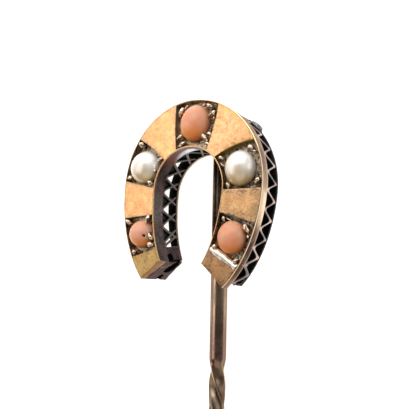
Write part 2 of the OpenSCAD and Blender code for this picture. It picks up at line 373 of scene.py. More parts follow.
# Brushed finish: fine lines along the pin over a soft pitting, as a height, and the lines as a mask
def makeBrushGroup():
    group, start, end, place = startGroup(
        "brushedFinish", {"Line Scale": 2600.0, "Pit Scale": 9000.0}, ("Height", "Streaks"))
    turned = addNode(group, "ShaderNodeMapping", inputs={
        "Vector": place, "Scale": (1.6, 0.14, 1.6)}).outputs["Vector"]
    lines = addNode(group, "ShaderNodeTexNoise", inputs={
        "Vector": turned, "Scale": start.outputs["Line Scale"], "Detail": 3.0, "Roughness": 0.6})
    pits = addNode(group, "ShaderNodeTexNoise", inputs={
        "Vector": place, "Scale": start.outputs["Pit Scale"], "Detail": 2.0, "Roughness": 0.5})
    height = addNode(group, "ShaderNodeMath", operation="ADD", inputs={
        0: lines.outputs["Fac"], 1: pits.outputs["Fac"]}).outputs[0]
    group.links.new(height, end.inputs["Height"])
    group.links.new(mapRange(group, lines.outputs["Fac"], 0.46, 0.66), end.inputs["Streaks"])
    return group


patinaGroup = makePatinaGroup()
brushGroup = makeBrushGroup()


# A new material, its tree and its shader, with these values on the shader's own sockets
def startMaterial(name, **shader):
    material = bpy.data.materials.new(name)
    material.use_nodes = True
    tree = material.node_tree
    surface = tree.nodes["Principled BSDF"]
    for key, value in shader.items():
        surface.inputs[key.replace("_", " ")].default_value = value
    return material, tree, surface


# A node group placed in a material with its own values
def useGroup(tree, group, **values):
    node = tree.nodes.new("ShaderNodeGroup")
    node.node_tree = group
    for key, value in values.items():
        node.inputs[key.replace("_", " ")].default_value = value
    return node


# Bump from a height, its distance in metres
def addBump(tree, surface, height, strength, distance):
    bump = addNode(tree, "ShaderNodeBump", inputs={
        "Height": height, "Strength": strength, "Distance": distance})
    tree.links.new(bump.outputs["Normal"], surface.inputs["Normal"])


# Where a spot starts and ends to fade, and how far the noise moves its border, in shares of its radius
spotFade, spotNoise = (0.5, 1.35), 0.45


# Soft patches of another colour: place in metres, radius in millimetres, colour, share. The noise
# of the patina moves their borders
def addSpots(tree, colour, noise, spots):
    place = addNode(tree, "ShaderNodeTexCoord").outputs["Object"]
    for centre, radius, tone, share in spots:
        away = addNode(tree, "ShaderNodeVectorMath", operation="DISTANCE", inputs={
            0: place, 1: tuple(centre)}).outputs["Value"]
        reach = radius * mm
        moved = addNode(tree, "ShaderNodeMath", operation="MULTIPLY_ADD", inputs={
            0: noise, 1: spotNoise * reach, 2: away}).outputs[0]
        mask = mapRange(tree, moved, spotFade[0] * reach, spotFade[1] * reach, share, 0.0)
        colour = mixColour(tree, mask, colour, tone)
    return colour


# Gold under patina: the clean and soiled colours mixed by patches, specks and streaks, then the edge colour
# mixed in by the per-point value for dirt and painted light
def goldMaterial(name, clean, tint, soil, rough, patch=900.0, speck=5200.0, tintShare=0.5,
                 soilShare=0.3, streakShare=0.0, bumpStrength=0.2, bumpDistance=0.00001, edge=None,
                 spots=(), glance=None, grime=0.0):
    material, tree, surface = startMaterial(name, Metallic=1.0)
    patina = useGroup(tree, patinaGroup, Patch_Scale=patch, Speck_Scale=speck)
    brush = useGroup(tree, brushGroup)
    colour = clean
    dirtAndPaintedLight = addNode(tree, "ShaderNodeAttribute", attribute_name="dirtAndPaintedLight").outputs["Fac"]
    for mask, share, tone in ((patina.outputs["Patches"], tintShare, tint),
                              (patina.outputs["Specks"], soilShare, soil),
                              (brush.outputs["Streaks"], streakShare, soil)):
        if share > 0:
            amount = addNode(tree, "ShaderNodeMath", operation="MULTIPLY", inputs={0: mask, 1: share})
            colour = mixColour(tree, amount.outputs[0], colour, tone)
    if grime > 0:
        near = addNode(tree, "ShaderNodeMath", operation="MULTIPLY", inputs={
            0: patina.outputs["Specks"], 1: mapRange(tree, dirtAndPaintedLight, 0.0, 0.4, 0.0, grime)}).outputs[0]
        colour = mixColour(tree, near, colour, shades["grime"])
    colour = addSpots(tree, colour, patina.outputs["Patches"], spots)
    roughness = mapRange(tree, patina.outputs["Patches"], 0.0, 1.0, rough[0], rough[1])
    # The edge colour: painted highlights on the outer wall, gallery, heel walls and stem, the colour of
    # dirty ends on the panels
    if edge is not None:
        colour = mixColour(tree, dirtAndPaintedLight, colour, edge)
    tree.links.new(colour, surface.inputs["Base Color"])
    tree.links.new(roughness, surface.inputs["Roughness"])
    if glance is not None:
        surface.inputs["Specular Tint"].default_value = (*glance, 1)
    addBump(tree, surface, brush.outputs["Height"], bumpStrength, bumpDistance)
    return material


# Patches of colour on the two walls: share, angle, depth, then radius, colour and amount. On the opening's
# wall the last three, lilac patches under the arch, are painted highlights
openingSpots = [
    (0, -48, 0.5, 1.15, (0.14, 0.032, 0.014), 0.95), (0, -68, 0.7, 0.9, (0.040, 0.028, 0.025), 0.85),
    (0, -103, 0.55, 1.2, (0.24, 0.20, 0.185), 0.8), (0, -122, 0.6, 0.9, (0.13, 0.105, 0.095), 0.7),
    (0, -40, 1.25, 0.42, (0.34, 0.28, 0.30), 0.9), (0, -27, 1.15, 0.5, (0.60, 0.54, 0.56), 1.0),
    (0, -12, 1.0, 0.6, (0.90, 0.83, 0.85), 1.0),
]
wallSpots = [
    (1, 60, 0.9, 1.0, (0.38, 0.31, 0.28), 0.7), (1, 72, 1.0, 1.1, (0.28, 0.22, 0.21), 0.85),
    # The bright cream patch at 97 degrees is a painted reflection on the outer wall
    (1, 84, 1.1, 0.6, (0.26, 0.20, 0.17), 0.6), (1, 97, 0.9, 1.4, (1.0, 0.80, 0.60), 0.8),
    (1, 113, 1.05, 0.9, (0.17, 0.125, 0.12), 0.8), (1, 121, 0.95, 1.3, (0.10, 0.072, 0.076), 1.0),
    (1, 132, 0.9, 1.2, (0.12, 0.080, 0.070), 0.95), (1, 141, 0.85, 0.8, (0.26, 0.17, 0.13), 0.85),
]
# The same on the right leg's panels, the cells' floors and the back ring's left end
peachSpots = [
    (0.95, 24, 0.43, 0.35, shades["olivePanel"], 0.6), (0.96, 33, 0.43, 0.32, (0.52, 0.36, 0.11), 0.65),
    (0.96, 41, 0.43, 0.30, (0.50, 0.35, 0.11), 0.6), (0.95, 49, 0.43, 0.30, shades["olivePanel"], 0.5),
]
rubbedSpots = [
    (0.90, 101, 0.42, 0.55, (0.50, 0.34, 0.13), 0.55), (0.93, 94, 0.42, 0.35, (0.45, 0.31, 0.12), 0.5),
]
recessSpots = [
    (0.45, -128, 0.72, 0.45, (0.045, 0.034, 0.028), 0.85),
    (0.85, 88, 0.85, 0.45, shades["recessDark"], 0.75), (0.40, 89, 0.70, 0.45, shades["recessDark"], 0.7),
    (0.15, 108, 0.6, 0.45, (0.035, 0.028, 0.026), 0.9), (0.50, 105, 0.72, 0.4, (0.04, 0.032, 0.028), 0.75),
    (0.85, 14, 0.88, 0.3, shades["recessDark"], 0.6), (0.30, -23, 0.65, 0.35, (0.06, 0.042, 0.032), 0.6),
    (0.80, 60, 0.85, 0.3, shades["recessDark"], 0.6),
]
ringSpots = [
    (0, -137, 2.95, 1.5, (0.13, 0.090, 0.080), 0.9), (0.5, -142, 2.95, 1.6, (0.12, 0.085, 0.075), 0.9),
]
# Darker beige patches in the middle of the pearls' domes, a painted dark reflection, by x, y and z in head
# axes
pearlSpots = [
    (-3.50, -0.35, 0.95, 0.5, (0.62, 0.46, 0.33), 0.6), (3.52, -0.35, 1.05, 0.5, (0.66, 0.48, 0.34), 0.65),
]
# Patches on the stem, by x, y and z in stem axes: the first two are painted shade where the stem passes
# behind the head, the others darker and red-brown patches lower down
stemSpots = [
    (0, 0, 2.2, 3.2, shades["stemShade"], 1.0), (0, 0, -2.2, 3.2, shades["stemShade"], 1.0),
    (0, 0, -10.0, 2.2, (0.24, 0.145, 0.115), 0.85), (0, 0, -13.6, 2.4, (0.13, 0.085, 0.06), 0.9),
    (0.36, -0.36, -13.4, 0.45, (0.09, 0.030, 0.026), 0.85), (0, 0, -18.5, 3.4, (0.16, 0.10, 0.07), 0.8),
]


# Spots as addSpots takes them: the first three numbers of a row become a place in the scene
def placeSpots(rows, place):
    return [(place(*row[:3]), *row[3:]) for row in rows]


# A place on the head, by share of the leg's width, angle along the outline and depth
def onHead(share, angle, depth):
    return placeHead(headPoint(share, angle, depth))


# A place by x, y and z in head axes
def atHead(x, y, z):
    return placeHead(np.array([x, y, z]))


# A place by x, y and z in stem axes
def atStem(x, y, z):
    return layDown(np.array([x, y, z]))


# Each gold: its clean colour, tint and soil, its roughness from and to, and where it differs from
# goldMaterial's usual values
goldFinishes = {
    "mattGold": dict(
        clean=(0.80, 0.47, 0.22), tint=shades["panelPink"], soil=(0.56, 0.24, 0.09), rough=(0.42, 0.50),
        patch=2600.0, speck=6500.0, tintShare=0.65, soilShare=0.45, bumpStrength=0.4, bumpDistance=0.00002,
        edge=shades["panelEnd"], grime=0.5),
    "peachGold": dict(
        clean=(0.79, 0.435, 0.22), tint=(0.72, 0.325, 0.155), soil=(0.52, 0.22, 0.085), rough=(0.42, 0.50),
        patch=3300.0, speck=6000.0, tintShare=0.6, soilShare=0.6, bumpStrength=0.45, bumpDistance=0.00002,
        edge=(0.42, 0.32, 0.10), grime=0.7, spots=placeSpots(peachSpots, onHead)),
    "rubbedGold": dict(
        clean=(0.86, 0.52, 0.245), tint=shades["rubbedPink"], soil=shades["rubbedSoil"], rough=(0.40, 0.52),
        patch=3600.0, speck=7400.0, tintShare=0.6, soilShare=0.4, bumpStrength=0.6, bumpDistance=0.00002,
        edge=shades["panelEnd"], grime=1.0, spots=placeSpots(rubbedSpots, onHead)),
    "brownGold": dict(
        clean=(0.62, 0.37, 0.185), tint=shades["rubbedPink"], soil=shades["rubbedSoil"], rough=(0.40, 0.52),
        patch=2000.0, speck=7000.0, tintShare=0.6, soilShare=0.55, bumpStrength=0.5, bumpDistance=0.00002,
        edge=shades["copper"], grime=0.8),
    "oliveGold": dict(
        clean=(0.42, 0.285, 0.11), tint=shades["rubbedPink"], soil=(0.20, 0.13, 0.055), rough=(0.40, 0.52),
        patch=2300.0, tintShare=0.35, soilShare=0.7, bumpStrength=0.5, bumpDistance=0.00002,
        edge=shades["copper"]),
    "copperEnd": dict(
        clean=shades["copper"], tint=(0.42, 0.23, 0.09), soil=(0.08, 0.05, 0.04), rough=(0.34, 0.46),
        patch=1600.0, soilShare=0.5, bumpStrength=0.4),
    "rimGold": dict(
        clean=(0.40, 0.27, 0.135), tint=shades["panelPink"], soil=shades["rubbedSoil"], rough=(0.26, 0.36),
        patch=1500.0, speck=4000.0, soilShare=0.8, bumpStrength=0.3),
    # The outer wall's metal; its edge colour paints highlight lines along the wall's front and back edges
    "polishedGold": dict(
        clean=(0.74, 0.56, 0.40), tint=shades["wallSoil"], soil=shades["wallSoil"], rough=(0.20, 0.34),
        patch=700.0, tintShare=0.3, soilShare=0.2, streakShare=0.7, edge=(0.90, 0.72, 0.50),
        spots=placeSpots(wallSpots, onHead), glance=(0.42, 0.34, 0.28)),
    "brownedGold": dict(
        clean=(0.115, 0.080, 0.070), tint=(0.17, 0.075, 0.05), soil=(0.03, 0.025, 0.025),
        rough=(0.24, 0.38), patch=1400.0, soilShare=0.35, streakShare=0.4, bumpStrength=0.35,
        bumpDistance=0.00002,
        spots=placeSpots(openingSpots, onHead)),
    "tarnishedGold": dict(
        clean=(0.29, 0.225, 0.165), tint=(0.70, 0.54, 0.36), soil=(0.022, 0.018, 0.017), rough=(0.30, 0.50),
        patch=4200.0, speck=5500.0, tintShare=0.75, soilShare=0.95, bumpStrength=0.9, bumpDistance=0.00005,
        spots=placeSpots(recessSpots, onHead)),
    # Near-black metal, partly oxide and partly painted shade, on the plate's back, the ring's face towards
    # the plate and the lattice's webs inside the hollow head
    "blackOxideAndPaintedShade": dict(
        clean=shades["darkMetal"], tint=(0.05, 0.04, 0.045), soil=(0.006, 0.006, 0.008), rough=(0.45, 0.6),
        patch=1500.0, bumpStrength=0.3),
    # Gallery metal: near-black, partly oxide and partly painted shade, its edge colour a painted highlight
    # on the outer faces
    "oxideShadeAndHighlightGold": dict(
        clean=shades["darkMetal"], tint=(0.06, 0.045, 0.045), soil=shades["darkMetal"], rough=(0.30, 0.45),
        patch=1500.0, tintShare=0.6, bumpStrength=0.3, edge=(0.62, 0.48, 0.40)),
    "ringGold": dict(
        clean=(0.46, 0.36, 0.23), tint=(0.24, 0.17, 0.11), soil=(0.10, 0.07, 0.05), rough=(0.26, 0.42),
        tintShare=0.7, soilShare=0.6, bumpStrength=0.3, edge=(0.80, 0.66, 0.50),
        spots=placeSpots(ringSpots, onHead)),
    # Dark metal of the heel walls and end plates; its edge colour is their painted highlight
    "heelEnd": dict(
        clean=(0.060, 0.044, 0.043), tint=(0.125, 0.098, 0.092), soil=(0.012, 0.010, 0.010),
        rough=(0.30, 0.46), patch=2600.0, speck=4200.0, tintShare=0.8, soilShare=0.75, bumpStrength=0.9,
        bumpDistance=0.00005, edge=(0.40, 0.33, 0.32), glance=(0.40, 0.34, 0.33)),
    "brightGrain": dict(
        clean=(0.92, 0.80, 0.62), tint=(0.75, 0.60, 0.42), soil=shades["wallSoil"], rough=(0.16, 0.28),
        patch=3000.0, speck=7000.0, soilShare=0.5, bumpStrength=0.3),
    # Near-white metal: a painted highlight over the bevel's polish
    "polishAndPaintedHighlight": dict(
        clean=(1.0, 0.94, 0.84), tint=(0.90, 0.72, 0.52), soil=shades["wallSoil"], rough=(0.26, 0.36),
        patch=1800.0, tintShare=0.3, soilShare=0.1, bumpStrength=0.1),
    "greySolder": dict(
        clean=(0.20, 0.195, 0.19), tint=(0.50, 0.48, 0.45), soil=(0.05, 0.045, 0.045), rough=(0.30, 0.50),
        patch=1800.0, speck=3600.0, tintShare=0.8, soilShare=0.9, bumpStrength=0.9, bumpDistance=0.00006),
    "wireGold": dict(
        clean=(0.46, 0.33, 0.23), tint=shades["stemSoil"], soil=shades["stemSoil"], rough=(0.22, 0.34),
        patch=420.0, soilShare=0.25, streakShare=0.35, edge=(0.98, 0.80, 0.58),
        glance=(0.60, 0.46, 0.33), spots=placeSpots(stemSpots, atStem)),
}
golds = {name: goldMaterial(name, **values) for name, values in goldFinishes.items()}


# Painted shade in a hole: as good as black, with no gloss
def shadeBlackMaterial():
    material, _, surface = startMaterial("paintedShadeHole", Roughness=0.9, Specular_IOR_Level=0.0)
    surface.inputs["Base Color"].default_value = (*stoneShades["shadeBlack"], 1)
    return material


# How much of each colour shows on the stones, and between which per-point values the amber painted shade
# and the dark painted shade of the drill hole come in
stoneMix = {
    "coralSpecks": 0.10, "amber": (0.0, 0.4), "amberShare": 0.85, "holeShade": (0.45, 0.9),
    "pearlClouds": 0.5,
}


# Coral: two near colours in clouds with faint specks, amber painted shade low on the stone and dark painted
# shade in its drill hole
def coralMaterial():
    material, tree, surface = startMaterial(
        "coral", Roughness=0.42, IOR=1.49, Subsurface_Weight=0.8, Subsurface_Scale=0.0009,
        Coat_Weight=0.22, Coat_Roughness=0.30)
    surface.inputs["Subsurface Radius"].default_value = (1.0, 0.45, 0.2)
    patina = useGroup(tree, patinaGroup, Patch_Scale=700.0, Speck_Scale=4200.0)
    colour = mixColour(tree, patina.outputs["Patches"], stoneShades["coral"], stoneShades["coralPale"])
    faint = addNode(tree, "ShaderNodeMath", operation="MULTIPLY", inputs={
        0: patina.outputs["Specks"], 1: stoneMix["coralSpecks"]}).outputs[0]
    colour = mixColour(tree, faint, colour, stoneShades["coralSpeck"])
    dirtAndPaintedLight = addNode(tree, "ShaderNodeAttribute", attribute_name="dirtAndPaintedLight").outputs["Fac"]
    low = mapRange(tree, dirtAndPaintedLight, *stoneMix["amber"], 0.0, stoneMix["amberShare"])
    colour = mixColour(tree, low, colour, stoneShades["amber"])
    colour = mixColour(tree, mapRange(tree, dirtAndPaintedLight, *stoneMix["holeShade"]), colour, stoneShades["holeShade"])
    tree.links.new(colour, surface.inputs["Base Color"])
    return material


# Pearl: a glossy coat over white with warm clouds, a painted dark reflection in beige in the middle and
# golden painted shade towards the lower rim
def pearlMaterial():
    material, tree, surface = startMaterial(
        "pearl", Roughness=0.34, IOR=1.8, Subsurface_Weight=0.25, Subsurface_Scale=0.0004,
        Coat_Weight=1.0, Coat_Roughness=0.27, Coat_IOR=2.4)
    surface.inputs["Subsurface Radius"].default_value = (1.0, 0.85, 0.6)
    patina = useGroup(tree, patinaGroup, Patch_Scale=520.0, Speck_Scale=2600.0)
    faint = addNode(tree, "ShaderNodeMath", operation="MULTIPLY", inputs={
        0: patina.outputs["Patches"], 1: stoneMix["pearlClouds"]}).outputs[0]
    colour = mixColour(tree, faint, stoneShades["pearl"], stoneShades["pearlWarm"])
    colour = addSpots(tree, colour, patina.outputs["Patches"], placeSpots(pearlSpots, atHead))
    dirtAndPaintedLight = addNode(tree, "ShaderNodeAttribute", attribute_name="dirtAndPaintedLight").outputs["Fac"]
    tree.links.new(mixColour(tree, dirtAndPaintedLight, colour, stoneShades["pearlLow"]), surface.inputs["Base Color"])
    return material


heelShadeBlack = shadeBlackMaterial()
coralStone = coralMaterial()
pearlStone = pearlMaterial()
print("materials made")


# Front plate: a shallow tray with a rounded thin rim on each side, open between the rims
plate = {
    "rows": 420, "edgeRound": 0.035, "rimRound": 0.012, "unevenness": 0.008, "lip": 0.10,
    "lipStep": 0.06, "backStep": 0.05, "rippleWave": 2.3,
}


# A profile across the leg, carried along it from heel to heel. A profile point is a share of the
# leg's width moved in by its inset, and a level behind the sloping face or before the plate's back
def makePlate():
    angle = np.linspace(-head["heelAngle"], head["heelAngle"], plate["rows"])
    rim = head["rimShare"]
    r, q = plate["edgeRound"], plate["rimRound"]
    width = legWidth(angle)[:, None]
    floor = head["cellDepth"]
    # share, inset in millimetres towards the middle of the leg, level, measured from, slot, and the value
    # for dirt and painted light
    front, back = 0, 1
    outside, cell, edge, opening, under, heelEnd = range(6)
    profile = [
        (0, 0, -r, back, opening, 0), (0, 0, plate["lip"] + r, front, opening, 0),
        (0, 0, 2 * r, front, edge, 0), (0, 0.3 * r, 0.3 * r, front, edge, 0),
        (0, 1.3 * r, 0, front, edge, 0), (rim, -q, 0, front, edge, 0),
        (rim, 0, q, front, cell, 0), (rim, 0, floor / 2, front, cell, 0),
        (rim, 0, floor, front, cell, 0), (0.3, 0, floor, front, cell, 0), (0.7, 0, floor, front, cell, 0),
        (1 - rim, 0, floor, front, cell, 0), (1 - rim, 0, floor / 2, front, cell, 0),
        (1 - rim, 0, q, front, edge, 0), (1 - rim, -q, 0, front, edge, 0),
        # The outer wall's front and back edges carry painted highlight lines
        (1, 1.3 * r, 0, front, outside, 1), (1, 0.3 * r, 0.3 * r, front, outside, 1),
        (1, 0, 2 * r, front, outside, 0.8), (1, 0, plate["lip"], front, outside, 0.35),
        (1, 0.5 * r, plate["lip"] + plate["lipStep"], front, outside, 0),
        (1, 0.5 * r, -plate["lip"] - plate["backStep"], back, outside, 0),
        (1, 0, -plate["lip"], back, outside, 0.3),
        (1, 0, -r, back, outside, 0.5), (1, r, 0, back, under, 0.3), (0, r, 0, back, under, 0),
    ]
    columns, values = [], []
    for share, inset, level, side, _, dirtAndPaintedLight in profile:
        inward = inset / width[:, 0] * (1 if share < 0.5 else -1)
        at = share + inward
        depth = head["faceSlope"] * at + level if side == front else plateBack(at) + level
        columns.append(headPoint(at, angle, depth))
        values.append(np.full(len(angle), dirtAndPaintedLight))
    points = np.stack(columns, 1)
    points[..., 1] += ripple(points, plate["unevenness"], plate["rippleWave"])
    shell = tube(points, materials=[row[4] for row in profile], value=np.stack(values, 1), endSlot=heelEnd)
    # The plate's back takes near-black painted shade
    names = ("polishedGold", "tarnishedGold", "rimGold", "brownedGold", "blackOxideAndPaintedShade", "copperEnd")
    return buildPiece("front_plate", [shell], [golds[name] for name in names])


# The six matt panels fill the tray between the cells, with softly rounded ends
panels = {
    "length": 44, "across": 22, "endRound": 0.045, "endSteps": 6, "sink": 0.02,
    "unevenness": 0.012, "rippleWave": 1.7, "endDirt": 0.35, "sideDirt": 0.3, "dirtReach": (0.16, 0.1),
    # deeper than this share of the end's rounding a panel shows its end colour
    "endTop": 0.3,
}
# How far the dirt reaches in from a panel's ends and from its outer border, in millimetres
panelDirt = {
    "panel_side_right": (0.38, 0.35), "panel_top_right": (0.22, 0.2), "panel_heel_right": (0.3, 0.3),
}
panelFinish = {
    "panel_top_right": "peachGold", "panel_side_right": "rubbedGold",
    "panel_heel_right": "brownGold", "panel_heel_left": "oliveGold",
}
# Each panel runs from one cell, or a heel, to the next
panelNeighbours = {
    "panel_heel_left": ("leftHeel", "leftCoral"), "panel_side_left": ("leftCoral", "leftPearl"),
    "panel_top_left": ("leftPearl", "top"), "panel_top_right": ("top", "rightPearl"),
    "panel_side_right": ("rightPearl", "rightCoral"), "panel_heel_right": ("rightCoral", "rightHeel"),
}


# Outer from, outer to, inner from and inner to, as for the cells
def panelEnds(before, after):
    heel = head["heelAngle"]
    ends = dict(cells, leftHeel=(-heel,) * 4, rightHeel=(heel,) * 4)
    return ends[before][1], ends[after][0], ends[before][3], ends[after][2]


# The angle at a share of the leg's width and a share along the cell: both ends are straight lines
def cellAngle(ends, share, along):
    outerFrom, outerTo, innerFrom, innerTo = ends
    first = innerFrom * (1 - share) + outerFrom * share
    last = innerTo * (1 - share) + outerTo * share
    return first * (1 - along) + last * along


# Ends roll over in a quarter circle from the face down to the floor of the tray. Dirt falls off as
# a bell curve of the distance from the ends and from the outer border
def makePanel(ends, endReach, sideReach):
    rim = head["rimShare"]
    share = np.linspace(rim, 1 - rim, panels["across"])
    share = np.concatenate([[rim], share, [1 - rim]])[None, :]
    middle = cellAngle(ends, 0.5, np.array([0.0, 1.0]))
    length = np.linalg.norm(np.diff((outerEdge(middle) + innerEdge(middle)) / 2, axis=0))
    turn = np.linspace(0, np.pi / 2, panels["endSteps"])
    rolled = panels["endRound"] / length * (1 - np.sin(turn))
    drop = panels["endRound"] * (1 - np.cos(turn))
    flat = np.linspace(rolled[0], 1 - rolled[0], panels["length"])
    along = np.concatenate([[0.0], rolled[::-1], flat[1:-1], 1 - rolled, [1.0]])[:, None]
    deep = head["cellDepth"] + panels["sink"]
    level = np.concatenate([[deep], drop[::-1], np.zeros(len(flat) - 2), drop, [deep]])[:, None]
    level = np.repeat(level, share.shape[1], 1)
    side = np.zeros_like(level)
    side[:, [0, -1]] = 1
    level = np.where(side > 0, deep, level)
    angle = cellAngle(ends, share, along)
    top = facePoint(share, angle, level)
    bottom = facePoint(share, angle, np.full_like(level, deep))
    top[..., 1] += np.where(level < deep, ripple(top, panels["unevenness"], panels["rippleWave"]), 0)
    fromEnd = np.minimum(along, 1 - along) * length + 0 * share
    dirt = panels["endDirt"] * np.exp(-((fromEnd / endReach) ** 2))
    fromSide = (1 - share) * legWidth(angle)
    dirt = np.maximum(dirt, panels["sideDirt"] * np.exp(-((fromSide / sideReach) ** 2)))
    dirt = np.where(level > panels["endTop"] * panels["endRound"], 1.0, dirt)
    return slab(top, bottom, dirt)


# One panel object for each stretch between two cells
def makePanels():
    made = []
    for name, neighbours in panelNeighbours.items():
        endReach, sideReach = panelDirt.get(name, panels["dirtReach"])
        panel = makePanel(panelEnds(*neighbours), endReach, sideReach)
        made.append(buildPiece(name, [panel], [golds[panelFinish.get(name, "mattGold")]]))
    return made


frontPlate = makePlate()
panelPieces = makePanels()
print("plate and panels made")


# A closed section around zero, between an ellipse and a rectangle
def roundedSection(halfAcross, halfDeep, count=12, power=3.0):
    turn = np.linspace(0, 2 * np.pi, count, endpoint=False) + np.pi / count
    across = halfAcross * np.sign(np.cos(turn)) * np.abs(np.cos(turn)) ** (2 / power)
    deep = halfDeep * np.sign(np.sin(turn)) * np.abs(np.sin(turn)) ** (2 / power)
    return across, deep


# Pierced gallery between plate and back ring. Outside it is a zigzag ribbon with thickened corners.
# At the opening straight bars cross at some two thirds of the depth, with thin sheets of near-black painted
# shade between them, and a wall with two recesses painted black as shade closes each leg
gallery = {
    "count": 47, "reach": 0.98, "inset": 0.012, "thick": 0.16, "strut": 0.13, "steps": 8,
    "node": 0.7, "plateNode": 1.5, "nodeWide": 0.16, "heelSwell": 0.45, "swellFrom": (112, 132),
    # painted highlight on the ribbon's outer face: middle, at its corners, waves, and where it fades
    # towards the heels
    "bright": 0.5, "cornerBright": 0.4, "cornerWide": 0.25, "waves": (0.25, 1.9), "dim": 0.7,
    "dimFrom": (118, 138),
    "barCount": 16, "barStrut": 0.18, "barReach": 0.76, "lastBar": (128.5, 121.0),
    "barBright": (0.30, 0.18), "barSteps": 10, "webIn": 0.15, "webThick": 0.05, "webSteps": 5,
    "webSink": 0.04, "sinkIn": 0.05,
    # where a corner counts as the plate's, and where the painted highlight on the outer face of ribbon and
    # bars starts
    "plateFrom": (0.4, 0.8), "faceFrom": (0.2, 0.9),
}


# The ribbon's level runs to and fro between plate and ring, its corners swell as bell curves
def zigzag():
    corners = evenAngles(outerEdge, gallery["count"] + 1) * gallery["reach"]
    at = np.linspace(0, gallery["count"], gallery["count"] * gallery["steps"] + 1)
    angle = np.interp(at, np.arange(len(corners)), corners)
    down = 1 - np.abs((at % 2) - 1)
    middle = 1 - gallery["inset"] - gallery["thick"] / 2 / legWidth(0.0)
    back = plateBack(middle)
    level = ringFront + (back - ringFront) * down
    pitch = np.linalg.norm(np.diff(outerEdge(corners[:2]), axis=0))
    slant = np.hypot(pitch, ringFront - back) / pitch
    toCorner = np.minimum(at % 1, 1 - at % 1) * pitch * slant
    atPlate = smoothStep(*gallery["plateFrom"], down)
    node = gallery["node"] + (gallery["plateNode"] - gallery["node"]) * atPlate
    swell = 1 + node * np.exp(-(toCorner / gallery["nodeWide"]) ** 2)
    swell = swell * (1 + gallery["heelSwell"] * smoothStep(*gallery["swellFrom"], np.abs(angle)))
    across, deep = roundedSection(gallery["thick"] / 2, gallery["strut"] / 2)
    share = middle + across[None, :] / legWidth(angle)[:, None]
    depth = level[:, None] + deep[None, :] * slant * swell[:, None]
    size, wave = gallery["waves"]
    # Painted highlight on the outer face, stronger at the corners, waving along and fading towards the
    # heels
    bright = gallery["cornerBright"] * np.exp(-(toCorner / gallery["cornerWide"]) ** 2)
    bright = gallery["bright"] + bright + size * np.sin(at * wave)
    bright = bright * (1 - gallery["dim"] * smoothStep(*gallery["dimFrom"], np.abs(angle)))
    face = smoothStep(*gallery["faceFrom"], across / across.max())
    dirtAndPaintedLight = face[None, :] * np.clip(bright, 0, 1)[:, None]
    return tube(headPoint(share, angle[:, None], depth), value=dirtAndPaintedLight)


# One straight bar of the opening's lattice, from the plate to the back ring, its outer face with a painted
# highlight that fades towards the ring
def latticeBar(fromAngle, toAngle):
    t = np.linspace(0, 1, gallery["barSteps"])
    angle = fromAngle + (toAngle - fromAngle) * t
    back = plateBack(gallery["inset"])
    front, behind = back - gallery["sinkIn"], ringFront + 0.6 * gallery["sinkIn"]
    level = front + (behind - front) * t
    span = np.linalg.norm(innerEdge(np.array(toAngle)) - innerEdge(np.array(fromAngle)))
    slant = np.hypot(span, ringFront - back) / max(span, 0.05)
    across, deep = roundedSection(gallery["thick"] / 2, gallery["barStrut"] / 2)
    middle = gallery["inset"] + gallery["thick"] / 2 / legWidth(angle)
    share = middle[:, None] + across[None, :] / legWidth(angle)[:, None]
    depth = level[:, None] + deep[None, :] * slant
    bright = np.interp(t, (0, 1), gallery["barBright"])
    face = smoothStep(*gallery["faceFrom"], -across / across.max())
    dirtAndPaintedLight = face[None, :] * bright[:, None]
    return tube(headPoint(share, angle[:, None], depth), value=dirtAndPaintedLight)


# A thin near-black sheet of painted shade between two bars, from the plate to where they cross
def latticeWeb(fromAngle, toAngle):
    t = np.linspace(0, 0.5 / gallery["barReach"], gallery["webSteps"])[:, None]
    reach = gallery["barReach"] * t
    along = np.linspace(0, 1, gallery["webSteps"])[None, :]
    angle = fromAngle + (toAngle - fromAngle) * (reach + (1 - 2 * reach) * along)
    back = plateBack(gallery["inset"])
    level = back - gallery["webSink"] + (ringFront - back) * t + 0 * along
    share = gallery["inset"] + gallery["webIn"] / legWidth(angle)
    return slab(headPoint(share, angle, level),
                headPoint(share + gallery["webThick"] / legWidth(angle), angle, level))


# The walls near and over the legs' ends
heels = {
    "innerFrom": 129.0, "outerFrom": 136.5, "reach": 0.985, "plateThick": 0.09, "thick": 0.16,
    "shares": (0.03, 0.97), "cornerFrom": 0.7, "recessDeep": 0.11, "holeSlot": 2, "ringIn": 0.04,
    "wallSteps": (34, 44), "plateSteps": (25, 19),
    # where the wall over the end starts behind the face, left and right
    "topLevels": (0.92, 1.8),
    # how far past the leg's end it stands, left and right, how far its corners fall back, in degrees, and
    # the strength of its painted highlight, left and right
    "past": (0.25, -1.4), "cornerBack": (0, 1.2), "bright": (1, 0.3),
    # its recesses: middle in shares of the leg's width, half width, middle level, half height
    "holes": [(0.34, 0.66, 2.45, 0.58), (0.84, 0.30, 2.2, 0.3)],
    # a hole in each plate beside it: place along and across, half length and width, all in shares
    "innerHole": (0.80, 0.22, 0.27, 0.36), "outerHole": (0.4, 0.5, 0.5, 0.42),
    # painted highlight on the inner and the outer plate, and the share of it away from their borders
    "innerBright": 0.35, "outerBright": 0.12, "inBorder": 0.3,
    # where a hole's and a recess's border lies, and the waves of it: size, and how fast each way
    "holeEdge": (0.85, 1.15), "holeWaves": (0.2, 5, 6), "recessEdge": (0.8, 1.1),
    "recessWaves": (0.12, 7, 4),
    # the lumps on plates and walls in the same way, the depth of a hole, and how soon the carving starts
    "lumps": (0.02, 3.1, 8), "endLumps": (0.012, 9, 7), "dent": 0.06, "carveOver": 0.15,
    # painted highlight on the wall's face and on its ridge
    "faceBright": 0.25, "ridgeBright": 0.9,
    # a ridge with a painted highlight near the wall's inner corner: level at its foot, slope, half width,
    # the share at its foot and the share where it ends
    "ridge": (1.25, 7, 0.16, 0.27, 0.33),
}


